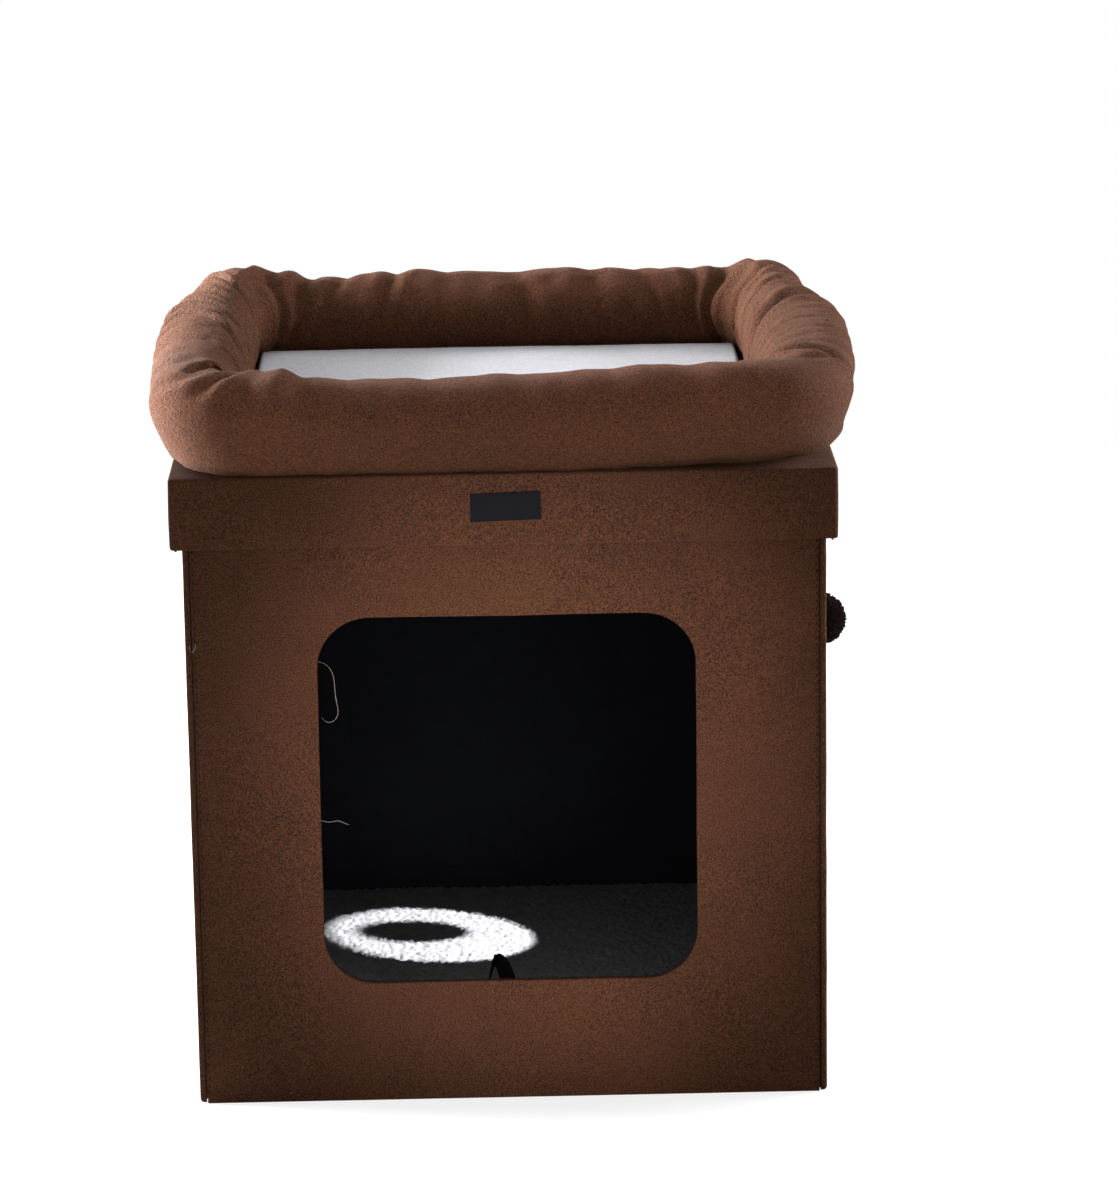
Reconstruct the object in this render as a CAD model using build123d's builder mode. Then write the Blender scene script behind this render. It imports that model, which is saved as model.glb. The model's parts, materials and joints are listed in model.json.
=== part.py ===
from build123d import *
import os
from math import cos, radians, sin, sqrt, tan

# A collapsible cat condo: a square box of cloth-covered boards with a doorway in the front, a round
# window with a hanging ball in the right side, a padded floor panel that flips up about its rear edge,
# and a lift-off lid that carries a bolster bed. The origin is on the ground under the middle of the box.
# X points to the right of the doorway, Y to the back and Z up. All sizes are in millimetres.

# Cloth and board
skin = 1.2
board = 3.0
lining = 0.8
wall = skin + board + lining
seat_gap = 0.3

# Box
body_width = 368.0
body_depth = 368.0
wall_height = 370.7
corner_round = 3.5
foot_round = 3.0
fold_gap = 4.0

# Doorway
door_width = 217.7
door_height = 219.9
door_sill = 71.7
door_round = 30.0

# Round window
window_radius = 42.0
window_height = 220.0

# Lid
lid_clearance = 1.5
skirt_height = 41.7
lid_corner_round = 2.5
lid_top_round = 1.0

# Label patch, blank
label_width = 40.4
label_height = 16.5
label_thickness = 0.8
label_x = 1.0
label_drop = 18.7
label_tilt = 1.5

# Bolster, as distances outward from the edge of the lid and heights above the lid
bolster_height = 60.0
bolster_bulge = 15.5
bolster_corner_bulge = 10.0
bolster_inner_reach = -40.5
outer_seam = -2.5
inner_seam = -33.0
crest_out = -9.0
bulge_level = 40.0
inner_bulge_level = 42.0
bolster_cloth = 1.5
seam_corner_round = 46.0
bulge_corner_round = 44.0
inner_corner_round = 16.0
corner_zone = 55.0

# Bed pad
pad_margin = 1.5
pad_edge = 8.0
pad_crown = 15.0
pad_draw = 3.0
fleece = 1.5

# Floor panel
floor_side_gap = 2.5
floor_front_gap = 5.0
floor_edge = 19.0
floor_crown = 25.0
floor_draw = 1.5

# Tape that hinges the floor panel to the back wall
hinge_tape_width = 300.0
hinge_tape_height = 24.0
hinge_tape_thickness = 0.8

# Pull loop
loop_x = -3.0
loop_span = 23.0
loop_length = 58.0
loop_ribbon = 9.0
loop_thickness = 1.2
loop_lean = 27.0
loop_inset = 6.5

# Hanging ball
ball_radius = 15.5
ball_standoff = 8.0
tab_width = 9.0
tab_length = 10.5
tab_thickness = 1.2
tab_above_window = 1.0
knot_radius = 1.8
elastic_radius = 1.0
elastic_show = 3.3
elastic_in_ball = 6.0

# Worked out from the sizes above
half_width = body_width / 2
half_depth = body_depth / 2
panel_width = body_width - 2 * wall
panel_depth = body_depth - 2 * wall
lid_half_width = half_width + lid_clearance + wall
lid_half_depth = half_depth + lid_clearance + wall
lid_underside = wall_height + seat_gap
lid_top = lid_underside + wall
skirt_bottom = lid_top - skirt_height
floor_width = panel_width - 2 * floor_side_gap
floor_rear = half_depth - wall - hinge_tape_thickness - seat_gap
floor_front = -half_depth + wall + floor_front_gap
floor_depth = floor_rear - floor_front
floor_middle = (floor_rear + floor_front) / 2
tab_bottom = window_height + window_radius + tab_above_window
hang_x = half_width + ball_standoff
knot_height = tab_bottom - seat_gap - knot_radius
elastic_top = knot_height - knot_radius - seat_gap
ball_height = elastic_top - elastic_show - ball_radius

os.makedirs("parts", exist_ok=True)


def save(piece, name):
    """Label a finished piece and write it to its own file."""
    piece.label = name
    export_step(piece, f"parts/{name}.step")


# Each wall's outer face: local x runs along the wall, local y is height, the normal points outward
outer_faces = {
    "front": Plane(origin=(0, -half_depth, 0), x_dir=(1, 0, 0), z_dir=(0, -1, 0)),
    "back": Plane(origin=(0, half_depth, 0), x_dir=(-1, 0, 0), z_dir=(0, 1, 0)),
    "left": Plane(origin=(-half_width, 0, 0), x_dir=(0, -1, 0), z_dir=(-1, 0, 0)),
    "right": Plane(origin=(half_width, 0, 0), x_dir=(0, 1, 0), z_dir=(1, 0, 0)),
}
wall_lengths = {
    "front": panel_width,
    "back": panel_width,
    "left": panel_depth,
    "right": panel_depth,
}
BOTTOM = (Align.CENTER, Align.MIN)


def cut_opening(side, grow):
    """Take the doorway or the window out of the sketch being drawn, larger all round by grow."""
    if side == "front":
        with Locations((0, door_sill + door_height / 2)):
            RectangleRounded(
                door_width + 2 * grow, door_height + 2 * grow, door_round + grow, mode=Mode.SUBTRACT
            )
    if side == "right":
        with Locations((0, window_height)):
            Circle(window_radius + grow, mode=Mode.SUBTRACT)


# Wall covers: suede cloth turned over the board's edges, and round the doorway and the window
for side, face in outer_faces.items():
    length = wall_lengths[side]
    with BuildPart() as cover:
        with BuildSketch(face):
            Rectangle(length, wall_height, align=BOTTOM)
            cut_opening(side, 0)
        extrude(amount=-(skin + board))
        with BuildSketch(face.offset(-skin)):
            with Locations((0, skin)):
                Rectangle(length - 2 * skin, wall_height - 2 * skin, align=BOTTOM)
            cut_opening(side, skin)
        extrude(amount=-board, mode=Mode.SUBTRACT)
    save(cover.part, f"{side}_cover")

# Wall linings: dark cloth over the inner faces
for side, face in outer_faces.items():
    with BuildPart() as inner_cloth:
        with BuildSketch(face.offset(-(skin + board))):
            Rectangle(wall_lengths[side], wall_height, align=BOTTOM)
            cut_opening(side, 0)
        extrude(amount=-lining)
    save(inner_cloth.part, f"{side}_lining")

# Front and back boards
for side in ("front", "back"):
    with BuildPart() as wall_board:
        with BuildSketch(outer_faces[side].offset(-skin)):
            with Locations((0, skin)):
                Rectangle(panel_width - 2 * skin, wall_height - 2 * skin, align=BOTTOM)
            cut_opening(side, skin)
        extrude(amount=-board)
    save(wall_board.part, f"{side}_board")

# Side boards: two halves with a gap between them, where the wall folds flat for storage
half_board = (panel_depth - 2 * skin - fold_gap) / 2
for side, along in (("left", -1), ("right", 1)):
    for end, towards_rear in (("front", -1), ("rear", 1)):
        with BuildPart() as wall_board:
            with BuildSketch(outer_faces[side].offset(-skin)):
                with Locations((along * towards_rear * (fold_gap + half_board) / 2, skin)):
                    Rectangle(half_board, wall_height - 2 * skin, align=BOTTOM)
                cut_opening(side, skin)
            extrude(amount=-board)
        save(wall_board.part, f"{side}_board_{end}")

# Corner seams: the sewn edges of two covers, rounded outside and at the foot
for depth_name, y_side in (("front", -1), ("back", 1)):
    for width_name, x_side in (("left", -1), ("right", 1)):
        with BuildPart() as seam:
            with BuildSketch():
                with Locations((x_side * (half_width - wall / 2), y_side * (half_depth - wall / 2))):
                    Rectangle(wall, wall)
            extrude(amount=wall_height)
            upright = seam.edges().filter_by(Axis.Z).sort_by(Axis.X)
            outermost = max(upright, key=lambda e: x_side * e.center().X + y_side * e.center().Y)
            fillet(outermost, corner_round)
            foot = seam.faces().sort_by(Axis.Z)[0].edges()
            outer_foot = [
                e
                for e in foot
                if x_side * e.center().X + y_side * e.center().Y > half_width + half_depth - 1.4 * wall
            ]
            fillet(outer_foot, foot_round)
        save(seam.part, f"corner_seam_{depth_name}_{width_name}")

# Lid cover: one suede cap with a hem turned under the skirt boards
cap_width = 2 * lid_half_width
cap_depth = 2 * lid_half_depth
board_round = lid_corner_round - skin
with BuildPart() as lid_cover:
    with BuildSketch(Plane.XY.offset(skirt_bottom)):
        RectangleRounded(cap_width, cap_depth, lid_corner_round)
    extrude(amount=skirt_height)
    fillet(lid_cover.faces().sort_by(Axis.Z)[-1].edges(), lid_top_round)
    with BuildSketch(Plane.XY.offset(skirt_bottom + skin)):
        RectangleRounded(cap_width - 2 * skin, cap_depth - 2 * skin, board_round)
    extrude(amount=skirt_height - 2 * skin, mode=Mode.SUBTRACT)
    with BuildSketch(Plane.XY.offset(skirt_bottom)):
        Rectangle(cap_width - 2 * (skin + board), cap_depth - 2 * (skin + board))
    extrude(amount=skin, mode=Mode.SUBTRACT)
save(lid_cover.part, "lid_cover")

# Lid board
with BuildPart() as lid_board:
    with BuildSketch(Plane.XY.offset(lid_top - skin - board)):
        RectangleRounded(cap_width - 2 * skin, cap_depth - 2 * skin, board_round)
    extrude(amount=board)
save(lid_board.part, "lid_board")

# Skirt boards: front and back run the full width, the sides fit between them
skirt_board_height = skirt_height - 2 * skin - board
inner_width = cap_width - 2 * (skin + board)
inner_depth = cap_depth - 2 * (skin + board)
for name, x_side, y_side in (("front", 0, -1), ("back", 0, 1), ("left", -1, 0), ("right", 1, 0)):
    with BuildPart() as skirt_board:
        with BuildSketch(Plane.XY.offset(skirt_bottom + skin)):
            RectangleRounded(cap_width - 2 * skin, cap_depth - 2 * skin, board_round)
            with Locations((x_side * (inner_width + board) / 2, y_side * (inner_depth + board) / 2)):
                if y_side:
                    Rectangle(cap_width, board, mode=Mode.INTERSECT)
                else:
                    Rectangle(board, inner_depth, mode=Mode.INTERSECT)
        extrude(amount=skirt_board_height)
    save(skirt_board.part, f"skirt_board_{name}")

# Lid lining: dark cloth inside the skirt and under the lid board
with BuildPart() as lid_lining:
    with BuildSketch(Plane.XY.offset(skirt_bottom)):
        Rectangle(inner_width, inner_depth)
    extrude(amount=skirt_height - skin - board)
    with BuildSketch(Plane.XY.offset(skirt_bottom)):
        Rectangle(inner_width - 2 * lining, inner_depth - 2 * lining)
    extrude(amount=skirt_height - wall, mode=Mode.SUBTRACT)
save(lid_lining.part, "lid_lining")

# Blank label patch on the front of the skirt
skirt_face = Plane(origin=(0, -lid_half_depth, lid_top), x_dir=(1, 0, 0), z_dir=(0, -1, 0))
with BuildPart() as label_patch:
    with BuildSketch(skirt_face):
        with Locations((label_x, -label_drop)):
            Rectangle(label_width, label_height, rotation=label_tilt)
    extrude(amount=label_thickness)
save(label_patch.part, "label_patch")


def ring_outline(inset, bulge):
    """The bolster's outline as (outward from the lid's edge, height, corner radius), drawn in by inset."""
    top = bolster_height - inset
    out = bulge - inset
    within = bolster_inner_reach + inset
    return {
        "outer_seam": (outer_seam - inset, inset, seam_corner_round),
        "outer_side": ((outer_seam + out) / 2 + 0.17 * bolster_height, 0.33 * top, bulge_corner_round),
        "bulge": (out, bulge_level, bulge_corner_round),
        "crest": (crest_out, top, 0.8 * bulge_corner_round),
        "inner_bulge": (within, inner_bulge_level, inner_corner_round),
        "inner_side": (within - 1.5, 0.45 * inner_bulge_level, inner_corner_round),
        "inner_seam": (inner_seam + inset, inset, inner_corner_round),
    }


def ring_section(plane, points):
    """One closed section of the bolster: a flat base and three bowed sides."""
    with BuildSketch(plane) as section:
        with BuildLine():
            ThreePointArc(points["outer_seam"], points["outer_side"], points["bulge"])
            ThreePointArc(points["bulge"], points["crest"], points["inner_bulge"])
            ThreePointArc(points["inner_bulge"], points["inner_side"], points["inner_seam"])
            Line(points["inner_seam"], points["outer_seam"])
        make_face()
    return section.sketch


def lid_edge_plane(origin, outward):
    """A vertical plane whose local x points outward over the lid's edge and whose local y is height."""
    return Plane(origin=origin, x_dir=outward, z_dir=Vector(outward).cross(Vector(0, 0, 1)))


def corner_reach(out, radius, angle):
    """Distance from the corner's pivot to its rounded outline, on a ray turned by angle from one arm."""
    flat = corner_zone + out
    centre = flat - radius
    off = radians(min(angle, 90 - angle))
    if flat * tan(off) <= centre:
        return flat / cos(off)
    return centre * (cos(off) + sin(off)) + sqrt(radius**2 - centre**2 * (1 - sin(2 * off)))


def bolster_ring(inset):
    """The whole bolster: half an arm, a corner and half an arm are lofted, then mirrored twice."""
    front_run = lid_half_width - corner_zone
    side_run = lid_half_depth - corner_zone
    bulges = (bolster_bulge, (bolster_bulge + bolster_corner_bulge) / 2, bolster_corner_bulge)
    outlines = [ring_outline(inset, bulge) for bulge in bulges]
    straight = [{name: (out, height) for name, (out, height, radius) in o.items()} for o in outlines]
    front = [
        ring_section(lid_edge_plane((x, -lid_half_depth, lid_top), (0, -1, 0)), points)
        for x, points in zip((0, 0.7 * front_run, front_run), straight)
    ]
    side = [
        ring_section(lid_edge_plane((lid_half_width, -y, lid_top), (1, 0, 0)), points)
        for y, points in zip((side_run, 0.7 * side_run, 0), reversed(straight))
    ]
    corner = []
    for angle in (22.5, 45, 67.5):
        across = {
            name: (corner_reach(out, radius, angle), height)
            for name, (out, height, radius) in outlines[-1].items()
        }
        outward = (sin(radians(angle)), -cos(radians(angle)), 0)
        corner.append(ring_section(lid_edge_plane((front_run, -side_run, lid_top), outward), across))
    with BuildPart() as ring:
        loft(sections=front)
        loft(sections=[front[-1], *corner, side[0]])
        loft(sections=side)
        mirror(about=Plane.YZ)
        mirror(about=Plane.XZ)
    return ring.part


# Bolster filling: one ring of stuffing
with BuildPart() as bolster_fill:
    add(bolster_ring(bolster_cloth))
save(bolster_fill.part, "bolster_fill")

# Bolster cover: suede over the filling, sewn flat to the lid
with BuildPart() as bolster_cover:
    add(bolster_ring(0))
    add(bolster_fill.part, mode=Mode.SUBTRACT)
save(bolster_cover.part, "bolster_cover")


def cushion(width, depth, middle, base, edge, crown, draw):
    """A crowned pad: flat base, sides bowed and drawn in at top and bottom, highest in the middle."""
    waist = (base + edge) / 2
    with BuildPart() as pad:
        for plane, size, run, centre in (
            (Plane.XZ.offset(-middle), width, depth, 0),
            (Plane.YZ, depth, width, middle),
        ):
            rim = size / 2 - draw
            with BuildSketch(plane):
                with BuildLine():
                    Line((centre - rim, base), (centre + rim, base))
                    ThreePointArc((centre + rim, base), (centre + size / 2, waist), (centre + rim, edge))
                    ThreePointArc((centre + rim, edge), (centre, crown), (centre - rim, edge))
                    ThreePointArc((centre - rim, edge), (centre - size / 2, waist), (centre - rim, base))
                make_face()
            extrude(
                amount=run / 2, both=True, mode=Mode.ADD if plane.z_dir.Y else Mode.INTERSECT
            )
    return pad.part


# Bed pad: a thin foam sheet in a fleece cover, inside the bolster
pad_width = 2 * (lid_half_width + bolster_inner_reach - pad_margin)
pad_depth = 2 * (lid_half_depth + bolster_inner_reach - pad_margin)
with BuildPart() as bed_foam:
    add(
        cushion(
            pad_width - 2 * fleece,
            pad_depth - 2 * fleece,
            0,
            lid_top + fleece,
            lid_top + pad_edge - fleece,
            lid_top + pad_crown - fleece,
            pad_draw,
        )
    )
save(bed_foam.part, "bed_foam")

with BuildPart() as bed_fleece:
    add(cushion(pad_width, pad_depth, 0, lid_top, lid_top + pad_edge, lid_top + pad_crown, pad_draw))
    add(bed_foam.part, mode=Mode.SUBTRACT)
save(bed_fleece.part, "bed_fleece")

# Floor panel: cloth underside, board, foam, and a fleece cover over foam and board
with BuildPart() as floor_underside:
    with BuildSketch():
        with Locations((0, floor_middle)):
            Rectangle(floor_width - 2 * floor_draw, floor_depth - 2 * floor_draw)
    extrude(amount=lining)
save(floor_underside.part, "floor_underside")

floor_rim = 2 * (floor_draw + fleece)
with BuildPart() as floor_board:
    with BuildSketch(Plane.XY.offset(lining)):
        with Locations((0, floor_middle)):
            Rectangle(floor_width - floor_rim, floor_depth - floor_rim)
    extrude(amount=board)
save(floor_board.part, "floor_board")

with BuildPart() as floor_foam:
    add(
        cushion(
            floor_width - 2 * fleece,
            floor_depth - 2 * fleece,
            floor_middle,
            lining + board,
            floor_edge - fleece,
            floor_crown - fleece,
            floor_draw,
        )
    )
save(floor_foam.part, "floor_foam")

with BuildPart() as floor_fleece:
    add(cushion(floor_width, floor_depth, floor_middle, lining, floor_edge, floor_crown, floor_draw))
    add(floor_foam.part, mode=Mode.SUBTRACT)
    add(floor_board.part, mode=Mode.SUBTRACT)
save(floor_fleece.part, "floor_fleece")

# Pull loop: a ribbon arch sewn to the floor panel's front edge, leaning back
lean_up = (0, sin(radians(loop_lean)), cos(radians(loop_lean)))
lean_normal = (0, -cos(radians(loop_lean)), sin(radians(loop_lean)))
loop_foot = Plane(
    origin=(loop_x, floor_front + loop_inset, floor_edge), x_dir=(1, 0, 0), z_dir=lean_normal
)
straight_leg = loop_length - loop_span / 2
with BuildPart() as pull_loop:
    with BuildSketch(loop_foot):
        SlotCenterToCenter(2 * straight_leg, loop_span, rotation=90)
        SlotCenterToCenter(2 * straight_leg, loop_span - 2 * loop_thickness, rotation=90, mode=Mode.SUBTRACT)
        Rectangle(2 * loop_span, 2 * loop_length, align=BOTTOM, mode=Mode.INTERSECT)
    extrude(amount=loop_ribbon / 2, both=True)
    add(floor_fleece.part, mode=Mode.SUBTRACT)
    add(floor_foam.part, mode=Mode.SUBTRACT)
save(pull_loop.part, "pull_loop")

# Hinge tape on the back wall, behind the floor panel's rear edge
with BuildPart() as hinge_tape:
    with BuildSketch(outer_faces["back"].offset(-wall)):
        with Locations((0, floor_edge - hinge_tape_height / 2)):
            Rectangle(hinge_tape_width, hinge_tape_height, align=BOTTOM)
    extrude(amount=-hinge_tape_thickness)
save(hinge_tape.part, "hinge_tape")

# Toy tab: a short ribbon stub sewn to the right wall above the window
with BuildPart() as toy_tab:
    with BuildSketch(outer_faces["right"]):
        with Locations((0, tab_bottom)):
            Rectangle(tab_width, tab_thickness, align=BOTTOM)
    extrude(amount=tab_length)
    fillet(toy_tab.faces().sort_by(Axis.X)[-1].edges().filter_by(Axis.Z), 0.25 * tab_width)
save(toy_tab.part, "toy_tab")

# Toy knot: tied under the tab, and the point that the ball swings about
with BuildPart() as toy_knot:
    with Locations((hang_x, 0, knot_height)):
        Sphere(knot_radius)
save(toy_knot.part, "toy_knot")

# Toy elastic: from the knot down into the ball
elastic_bottom = ball_height + ball_radius - elastic_in_ball
with BuildPart() as toy_elastic:
    with BuildSketch(Plane.XY.offset(elastic_bottom)):
        with Locations((hang_x, 0)):
            Circle(elastic_radius)
    extrude(amount=elastic_top - elastic_bottom)
save(toy_elastic.part, "toy_elastic")

# Pompom ball, with a hole for the elastic
with BuildPart() as toy_pompom:
    with Locations((hang_x, 0, ball_height)):
        Sphere(ball_radius)
    add(toy_elastic.part, mode=Mode.SUBTRACT)
save(toy_pompom.part, "toy_pompom")
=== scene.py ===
"""Looks of a collapsible cat condo, built around its packed construction model."""

import json
import math
import random

import bmesh
import bpy
import numpy as np
from mathutils import Matrix, Vector, noise

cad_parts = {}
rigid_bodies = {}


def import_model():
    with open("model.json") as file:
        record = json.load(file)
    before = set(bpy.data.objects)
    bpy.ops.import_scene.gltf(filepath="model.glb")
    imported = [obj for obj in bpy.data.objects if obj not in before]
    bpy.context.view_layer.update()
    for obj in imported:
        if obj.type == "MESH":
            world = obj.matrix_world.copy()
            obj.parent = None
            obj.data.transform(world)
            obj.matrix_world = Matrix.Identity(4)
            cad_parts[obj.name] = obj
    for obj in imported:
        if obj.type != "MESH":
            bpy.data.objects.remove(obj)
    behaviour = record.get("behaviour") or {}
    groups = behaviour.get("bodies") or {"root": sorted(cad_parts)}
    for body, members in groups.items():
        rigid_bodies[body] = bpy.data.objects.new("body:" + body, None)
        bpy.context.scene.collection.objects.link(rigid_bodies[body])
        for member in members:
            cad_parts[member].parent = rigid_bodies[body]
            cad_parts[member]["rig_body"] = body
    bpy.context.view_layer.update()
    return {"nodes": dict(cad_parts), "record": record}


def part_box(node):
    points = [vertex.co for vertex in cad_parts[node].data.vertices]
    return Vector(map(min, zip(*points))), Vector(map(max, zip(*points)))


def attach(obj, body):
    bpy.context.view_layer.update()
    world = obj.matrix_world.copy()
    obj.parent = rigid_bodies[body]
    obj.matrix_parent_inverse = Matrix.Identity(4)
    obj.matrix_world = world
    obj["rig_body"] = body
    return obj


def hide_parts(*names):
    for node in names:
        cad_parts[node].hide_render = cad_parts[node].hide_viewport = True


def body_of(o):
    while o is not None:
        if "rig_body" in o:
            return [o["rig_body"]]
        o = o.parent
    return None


bl_info = {
    "name": "Cat Condo",
    "version": (1, 0, 0),
    "blender": (4, 5, 0),
    "location": "3D View > Sidebar > Cat Condo",
    "description": "Suede box, bolster bed lid, fleece floor panel and hanging ball of a cat condo",
    "category": "Object",
}

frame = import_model()
MM = 0.001

# Places taken from the frame
BODY_LOW = Vector((min(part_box(n)[0].x for n in ("left_cover", "right_cover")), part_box("front_cover")[0].y, 0))
HALF = -BODY_LOW.x
WALL_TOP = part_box("front_cover")[1].z
LID_LOW, LID_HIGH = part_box("lid_cover")
LID_HALF = LID_HIGH.x
LID_TOP = LID_HIGH.z
BALL_LOW, BALL_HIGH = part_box("toy_pompom")
BALL_CENTRE = (BALL_LOW + BALL_HIGH) / 2
BALL_RADIUS = (BALL_HIGH.y - BALL_LOW.y) / 2

SIDES = {
    "front": (Vector((1, 0, 0)), Vector((0, -1, 0))),
    "back": (Vector((-1, 0, 0)), Vector((0, 1, 0))),
    "left": (Vector((0, -1, 0)), Vector((-1, 0, 0))),
    "right": (Vector((0, 1, 0)), Vector((1, 0, 0))),
}


class CondoColours(bpy.types.PropertyGroup):
    """Colours of the cloths."""

    suede_dark: bpy.props.FloatVectorProperty(
        name="Suede, dark nap", description="Suede where the nap lies away from the light",
        subtype="COLOR", size=3, min=0, max=1, default=(0.020, 0.0086, 0.0052),
    )
    suede_light: bpy.props.FloatVectorProperty(
        name="Suede, light nap", description="Suede where the nap is brushed towards the light",
        subtype="COLOR", size=3, min=0, max=1, default=(0.118, 0.0438, 0.0212),
    )
    inner_cloth: bpy.props.FloatVectorProperty(
        name="Inner cloth", description="Near-black cloth that lines the box and the lid",
        subtype="COLOR", size=3, min=0, max=1, default=(0.0150, 0.0160, 0.0215),
    )
    fleece: bpy.props.FloatVectorProperty(
        name="Fleece", description="Pale grey fleece of the bed pad and the floor panel",
        subtype="COLOR", size=3, min=0, max=1, default=(0.38, 0.38, 0.40),
    )
    yarn: bpy.props.FloatVectorProperty(
        name="Ball yarn", description="Dark brown yarn of the hanging ball",
        subtype="COLOR", size=3, min=0, max=1, default=(0.011, 0.0058, 0.0044),
    )
    ribbon: bpy.props.FloatVectorProperty(
        name="Ribbon", description="Black ribbon, thread and label cloth",
        subtype="COLOR", size=3, min=0, max=1, default=(0.0035, 0.0035, 0.0050),
    )


class CondoSizes(bpy.types.PropertyGroup):
    """Sizes of the sewn details."""

    stitch_length: bpy.props.FloatProperty(
        name="Stitch length", description="Length of one stitch in the corner seams",
        default=2.6 * MM, min=1 * MM, max=8 * MM, unit="LENGTH",
    )
    stitch_pitch: bpy.props.FloatProperty(
        name="Stitch pitch", description="Distance from one stitch to the next",
        default=4.4 * MM, min=2 * MM, max=12 * MM, unit="LENGTH",
    )
    seam_inset: bpy.props.FloatProperty(
        name="Seam inset", description="Distance of the corner seam line from the side of the box",
        default=3.7 * MM, min=1 * MM, max=8 * MM, unit="LENGTH",
    )
    edge_roll: bpy.props.FloatProperty(
        name="Edge roll", description="Radius of the cloth turned over a board's edge",
        default=1.4 * MM, min=0.3 * MM, max=2 * MM, unit="LENGTH",
    )
    cloth_slack: bpy.props.FloatProperty(
        name="Cloth slack", description="Share by which the cloth of the padded pieces is larger than their filling",
        default=0.05, min=0, max=0.15, subtype="FACTOR",
    )
    yarn_strands: bpy.props.IntProperty(
        name="Yarn ends", description="Cut yarn ends in the ball", default=2600, min=200, max=6000,
    )


# Mesh helpers


def mesh_piece(name, verts, faces, material, smooth=True):
    """A mesh object from plain lists, with outward normals and one material."""
    mesh = bpy.data.meshes.new(name)
    mesh.from_pydata([tuple(v) for v in verts], [], faces)
    mesh.validate()
    bm = bmesh.new()
    bm.from_mesh(mesh)
    bmesh.ops.recalc_face_normals(bm, faces=bm.faces)
    bm.to_mesh(mesh)
    bm.free()
    mesh.polygons.foreach_set("use_smooth", [smooth] * len(mesh.polygons))
    piece = bpy.data.objects.new(name, mesh)
    bpy.context.scene.collection.objects.link(piece)
    mesh.materials.append(material)
    return piece


def applied(piece):
    """The piece with its modifiers made part of its mesh."""
    bpy.context.view_layer.update()
    graph = bpy.context.evaluated_depsgraph_get()
    mesh = bpy.data.meshes.new_from_object(piece.evaluated_get(graph))
    piece.modifiers.clear()
    piece.data = mesh
    return piece


def add_modifier(piece, kind, **settings):
    """One modifier with its settings."""
    modifier = piece.modifiers.new(kind.title(), kind)
    for key, value in settings.items():
        setattr(modifier, key, value)
    return modifier


def coordinates(piece):
    """The mesh's points as an array."""
    co = np.empty(len(piece.data.vertices) * 3)
    piece.data.vertices.foreach_get("co", co)
    return co.reshape(-1, 3)


def set_coordinates(piece, co):
    """Writes an array of points back to the mesh."""
    piece.data.vertices.foreach_set("co", np.ascontiguousarray(co, dtype=np.float32).ravel())
    piece.data.update()


def wave(point, size, seed=0.0, octaves=2):
    """Smooth noise from about -1 to 1 whose features are size long."""
    p = Vector(point) / size + Vector((seed, 1.7 * seed, -seed))
    return noise.fractal(p, 1.0, 2.0, octaves)


def finish_piece(piece, body, slot, *nodes):
    """Ties a piece to its body and hides the nodes that it stands for. Its slot argument is not used."""
    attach(piece, body)
    if nodes:
        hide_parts(*nodes)
    return piece


def smoothstep(low, high, value):
    """0 below low, 1 above high and smooth between them."""
    t = np.clip((value - low) / (high - low), 0, 1)
    return t * t * (3 - 2 * t)


# Shader node groups and materials


def socketed_group(name, inputs, outputs):
    """An empty shader node group with float inputs at their defaults and the outputs named."""
    group = bpy.data.node_groups.new(name, "ShaderNodeTree")
    for label, default in inputs:
        socket = group.interface.new_socket(label, in_out="INPUT", socket_type="NodeSocketFloat")
        socket.default_value = default
    for label in outputs:
        group.interface.new_socket(label, in_out="OUTPUT", socket_type="NodeSocketFloat")
    entry = group.nodes.new("NodeGroupInput")
    leave = group.nodes.new("NodeGroupOutput")
    return group, entry, leave


def math_node(tree, operation, a, b=None, clamp=False):
    """A math node fed by sockets or numbers. Returns its output."""
    node = tree.nodes.new("ShaderNodeMath")
    node.operation = operation
    node.use_clamp = clamp
    for socket, value in zip(node.inputs, (a, b)):
        if value is None:
            continue
        if isinstance(value, (int, float)):
            socket.default_value = value
        else:
            tree.links.new(value, socket)
    return node.outputs[0]


def noise_node(tree, size, detail, vector=None, roughness=0.6):
    """Object-space noise whose features are size metres, a number or a socket. Returns its value."""
    if vector is None:
        vector = tree.nodes.new("ShaderNodeTexCoord").outputs["Object"]
    node = tree.nodes.new("ShaderNodeTexNoise")
    node.inputs["Detail"].default_value = detail
    node.inputs["Roughness"].default_value = roughness
    tree.links.new(vector, node.inputs["Vector"])
    tree.links.new(math_node(tree, "DIVIDE", 1.0, size), node.inputs["Scale"])
    return node.outputs["Fac"]


def nap_group():
    """Shade and height of a cloth with short pile: fine grain over soft mottling."""
    found = bpy.data.node_groups.get("Nap")
    if found:
        return found
    inputs = (
        ("Grain Size", 0.0012), ("Grain Amount", 0.8), ("Mottle Size", 0.05), ("Mottle Amount", 0.6),
        ("Brush Size", 0.012), ("Brush Amount", 0.3),
    )
    group, entry, leave = socketed_group("Nap", inputs, ("Shade", "Height"))
    grain = noise_node(group, entry.outputs["Grain Size"], 3)
    mottle = noise_node(group, entry.outputs["Mottle Size"], 3)
    brush = noise_node(group, entry.outputs["Brush Size"], 2)
    total = 0.5
    for value, amount in ((grain, "Grain Amount"), (mottle, "Mottle Amount"), (brush, "Brush Amount")):
        centred = math_node(group, "SUBTRACT", value, 0.5)
        part = math_node(group, "MULTIPLY", centred, entry.outputs[amount])
        total = math_node(group, "ADD", part, total)
    clamped = math_node(group, "ADD", total, 0.0, clamp=True)
    height = math_node(group, "ADD", math_node(group, "MULTIPLY", brush, 1.3), grain)
    group.links.new(clamped, leave.inputs["Shade"])
    group.links.new(height, leave.inputs["Height"])
    return group


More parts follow.
